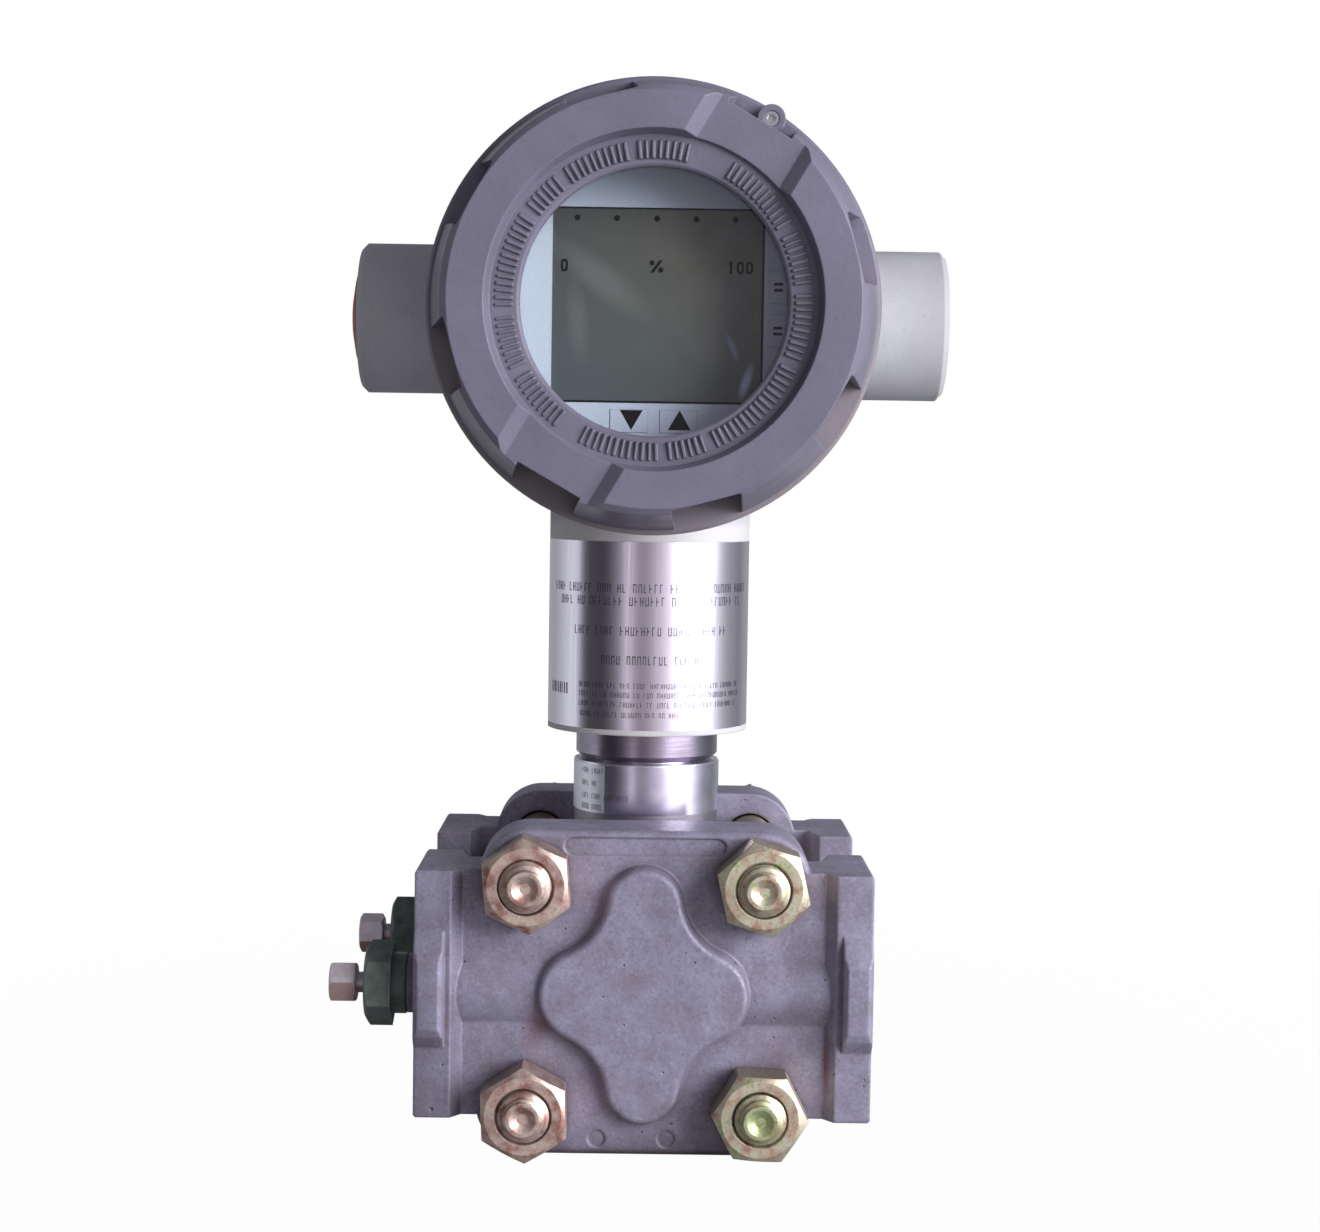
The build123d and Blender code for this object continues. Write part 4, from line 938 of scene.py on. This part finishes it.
low_end, high_end = scale_ends
scale_marks = nought(low_end, figure_row) + per_cent(scale_middle, figure_row)
scale_marks += one(high_end - figure_pitch, figure_row)
scale_marks += nought(high_end, figure_row) + nought(high_end + figure_pitch, figure_row)
flat_piece("lcd_scale_figures", scale_marks, lcd_front - ink_lift, "housing")

# Keys: four soft-touch zones of the same plate, each with its own mark: two arrows under
# the panel and two short bars beside it. Each rides on its own switch.
key_front = -52.2
dress(["key_down", "key_up", "key_side_upper", "key_side_lower"], face_plate_finish())
arrow_half = 2.3
arrow_rise = 2.0
arrow_keys = {"key_down": (-4.2, -22.6, -1), "key_up": (5.5, -22.5, 1)}
bar_keys = {"key_side_upper": 4.3, "key_side_lower": -4.4}
bar_span = (24.0, 25.8)
bar_half = 0.28
bar_rise = 0.6
for key, (x, z, way) in arrow_keys.items():
    tip = (x, z + way * arrow_rise)
    base = [(x - arrow_half, z - way * arrow_rise), (x + arrow_half, z - way * arrow_rise)]
    flat_piece(key + "_arrow", [[tip, *base]], key_front - ink_lift, key)
for key, z in bar_keys.items():
    bars = [box_outline(bar_span, (middle - bar_half, middle + bar_half)) for middle in (z + bar_rise, z - bar_rise)]
    flat_piece(key + "_bars", bars, key_front - ink_lift, key)

# Electronics inside: potted sensor module, green boards, a black connector, brass pillars,
# a moulded case behind the display and the terminal block under the rear cap.
board_green = plain_finish("board_green", shade(36, 92, 62), 0.0, 0.35, 1.5, 0.3)
black_plastic = plain_finish("black_plastic", shade(34, 34, 37), 0.0, 0.48, 1.5, 0.2, 0.02)
brass = plain_finish("brass_plated", shade(206, 178, 112), 1.0, 0.3, 1.5, 0.2)
dress(["main_board", "display_board"], board_green)
dress(["display_case", "board_connector", "terminal_block", "sensor_module"], black_plastic)
dress(["display_pillars", "terminal_screws"], brass)

# Floor: a wide white board under the heads. It takes only a faint shadow, as in the picture,
# and the bright steel doesn't mirror it.
floor_reach = 6.0
floor_drop = 0.0003
floor_tone = 0.4
glow_reach = (0.06, 0.4)
glow_share = (0.98, 1.0)


def floor_finish():
    """White floor, mostly lit by itself where the camera or a reflection sees it."""
    material, tree, surface = start_finish("floor_white", roughness=0.8)
    surface.inputs["Base Color"].default_value = (floor_tone, floor_tone, floor_tone, 1.0)
    paths = add(tree, "LightPath")
    rays = {0: paths.outputs["Is Camera Ray"], 1: paths.outputs["Is Glossy Ray"]}
    seen = add(tree, "Math", rays, operation="MAXIMUM").outputs[0]
    rays = {0: seen, 1: paths.outputs["Is Transmission Ray"]}
    seen = add(tree, "Math", rays, operation="MAXIMUM").outputs[0]
    away = add(tree, "VectorMath", {0: place(tree)}, operation="LENGTH").outputs["Value"]
    share = span(tree, away, *glow_reach, *glow_share)
    share = add(tree, "Math", {0: seen, 1: share}, operation="MULTIPLY").outputs[0]
    glow = add(tree, "Emission", {"Color": (1.0, 1.0, 1.0, 1.0), "Strength": 1.0}).outputs[0]
    both = add(tree, "MixShader", {0: share, 1: surface.outputs[0], 2: glow})
    tree.links.new(both.outputs[0], tree.nodes["Material Output"].inputs["Surface"])
    return material


floor_mesh = bmesh.new()
bmesh.ops.create_grid(floor_mesh, x_segments=2, y_segments=2, size=floor_reach)
floor_data = bpy.data.meshes.new("floor")
floor_mesh.to_mesh(floor_data)
floor_mesh.free()
floor = bpy.data.objects.new("floor", floor_data)
floor.location = (0, 0, -floor_drop)
floor_data.materials.append(floor_finish())
bpy.context.scene.collection.objects.link(floor)
floor.visible_glossy = False

# Studio walls: a white room with a dark flag at the left front and a narrow window strip,
# which the bright foil and the steel mirror. What the camera sees of it is plain white.
bearings = (
    (-180, 0.40), (-135, 0.36), (-118, 0.50), (-100, 0.72), (-91, 0.74), (-83, 0.22), (-76, 0.06), (-52, 0.05),
    (-44, 0.10), (-34, 0.23), (-28, 0.46), (-23, 0.74), (-18, 0.42), (-10, 0.26), (-2, 0.30), (5, 0.42), (10, 0.56),
    (20, 0.76), (28, 1.1), (36, 1.4), (74, 1.4), (84, 0.85), (94, 0.50), (104, 0.34), (116, 0.28), (128, 0.22),
    (145, 0.34), (180, 0.40),
)
brightest = 1.4
overhead = (0.30, 0.65)
overhead_tone = (0.09, 0.09, 0.10, 1.0)
underfoot = (-0.25, -0.55)
underfoot_tone = (0.08, 0.08, 0.09, 1.0)
front_width = 80
front_tint = (0.97, 0.92)
back_tint = (0.90, 0.95)


def build_world():
    """The room as brightness by bearing, darker overhead and underfoot."""
    world = bpy.data.worlds.new("studio")
    bpy.context.scene.world = world
    world.use_nodes = True
    tree = world.node_tree
    tree.nodes.clear()
    way = add(tree, "SeparateXYZ", {0: add(tree, "TexCoord").outputs["Generated"]})
    toward = add(tree, "Math", {0: way.outputs["Y"], 1: -1.0}, operation="MULTIPLY").outputs[0]
    bearing = add(tree, "Math", {0: way.outputs["X"], 1: toward}, operation="ARCTAN2").outputs[0]
    stops = []
    for angle, level in bearings:
        share = level / brightest
        red, green = back_tint if abs(angle) > front_width else front_tint
        stops.append(((angle + 180) / 360, (share * red, share * green, share, 1.0)))
    walls = ramp(tree, span(tree, bearing, -math.pi, math.pi), stops)
    height = way.outputs["Z"]
    colour = mix(tree, span(tree, height, *overhead), walls, overhead_tone)
    colour = mix(tree, span(tree, height, *underfoot), colour, underfoot_tone)
    room = add(tree, "Background", {"Color": colour, "Strength": brightest})
    white = add(tree, "Background", {"Color": (1.0, 1.0, 1.0, 1.0), "Strength": 1.0})
    seen = add(tree, "LightPath").outputs["Is Camera Ray"]
    both = add(tree, "MixShader", {0: seen, 1: room.outputs[0], 2: white.outputs[0]})
    output = tree.nodes.new("ShaderNodeOutputWorld")
    tree.links.new(both.outputs[0], output.inputs["Surface"])


build_world()

# Lamp: one wide window of cool light at the right front, a little above the housing and
# turned to the neck.
lamp_spot = Vector((0.867, -0.63, 0.367))
lamp_aim = Vector((0.0, 0.0, 0.12))
lamp_size = (0.9, 0.6)
lamp_power = 13.5
lamp_tint = (0.96, 0.97, 1.0)
light = bpy.data.lights.new("window_light", "AREA")
light.shape = "RECTANGLE"
light.size, light.size_y = lamp_size
light.energy = lamp_power
light.color = lamp_tint
lamp = bpy.data.objects.new("window_light", light)
lamp.location = lamp_spot
lamp.rotation_euler = (lamp_aim - lamp_spot).to_track_quat("-Z", "Y").to_euler()
bpy.context.scene.collection.objects.link(lamp)

# Camera: a little over half a metre in front, just above the neck, tipped down 3.6 degrees
# and turned a little to the right.
camera_spot = Vector((-1.09, -533.85, 144.88)) * MM
camera_down = math.radians(3.573)
camera_right = math.radians(0.391)
camera_roll = math.radians(0.883)
focal_pixels = 2393.5
picture_width = 1320
sensor_width = 36.0
ahead = Vector((
    math.sin(camera_right) * math.cos(camera_down),
    math.cos(camera_right) * math.cos(camera_down),
    -math.sin(camera_down),
))
level = Vector((math.cos(camera_right), -math.sin(camera_right), 0.0))
upright = level.cross(ahead)
side = math.cos(camera_roll) * level + math.sin(camera_roll) * upright
top = -math.sin(camera_roll) * level + math.cos(camera_roll) * upright
lens = bpy.data.cameras.new("camera")
lens.sensor_width = sensor_width
lens.lens = sensor_width * focal_pixels / picture_width
camera = bpy.data.objects.new("camera", lens)
camera.matrix_world = Matrix.Translation(camera_spot) @ Matrix((side, top, -ahead)).transposed().to_4x4()
bpy.context.scene.collection.objects.link(camera)
bpy.context.scene.camera = camera
bpy.context.scene.view_settings.view_transform = "Standard"
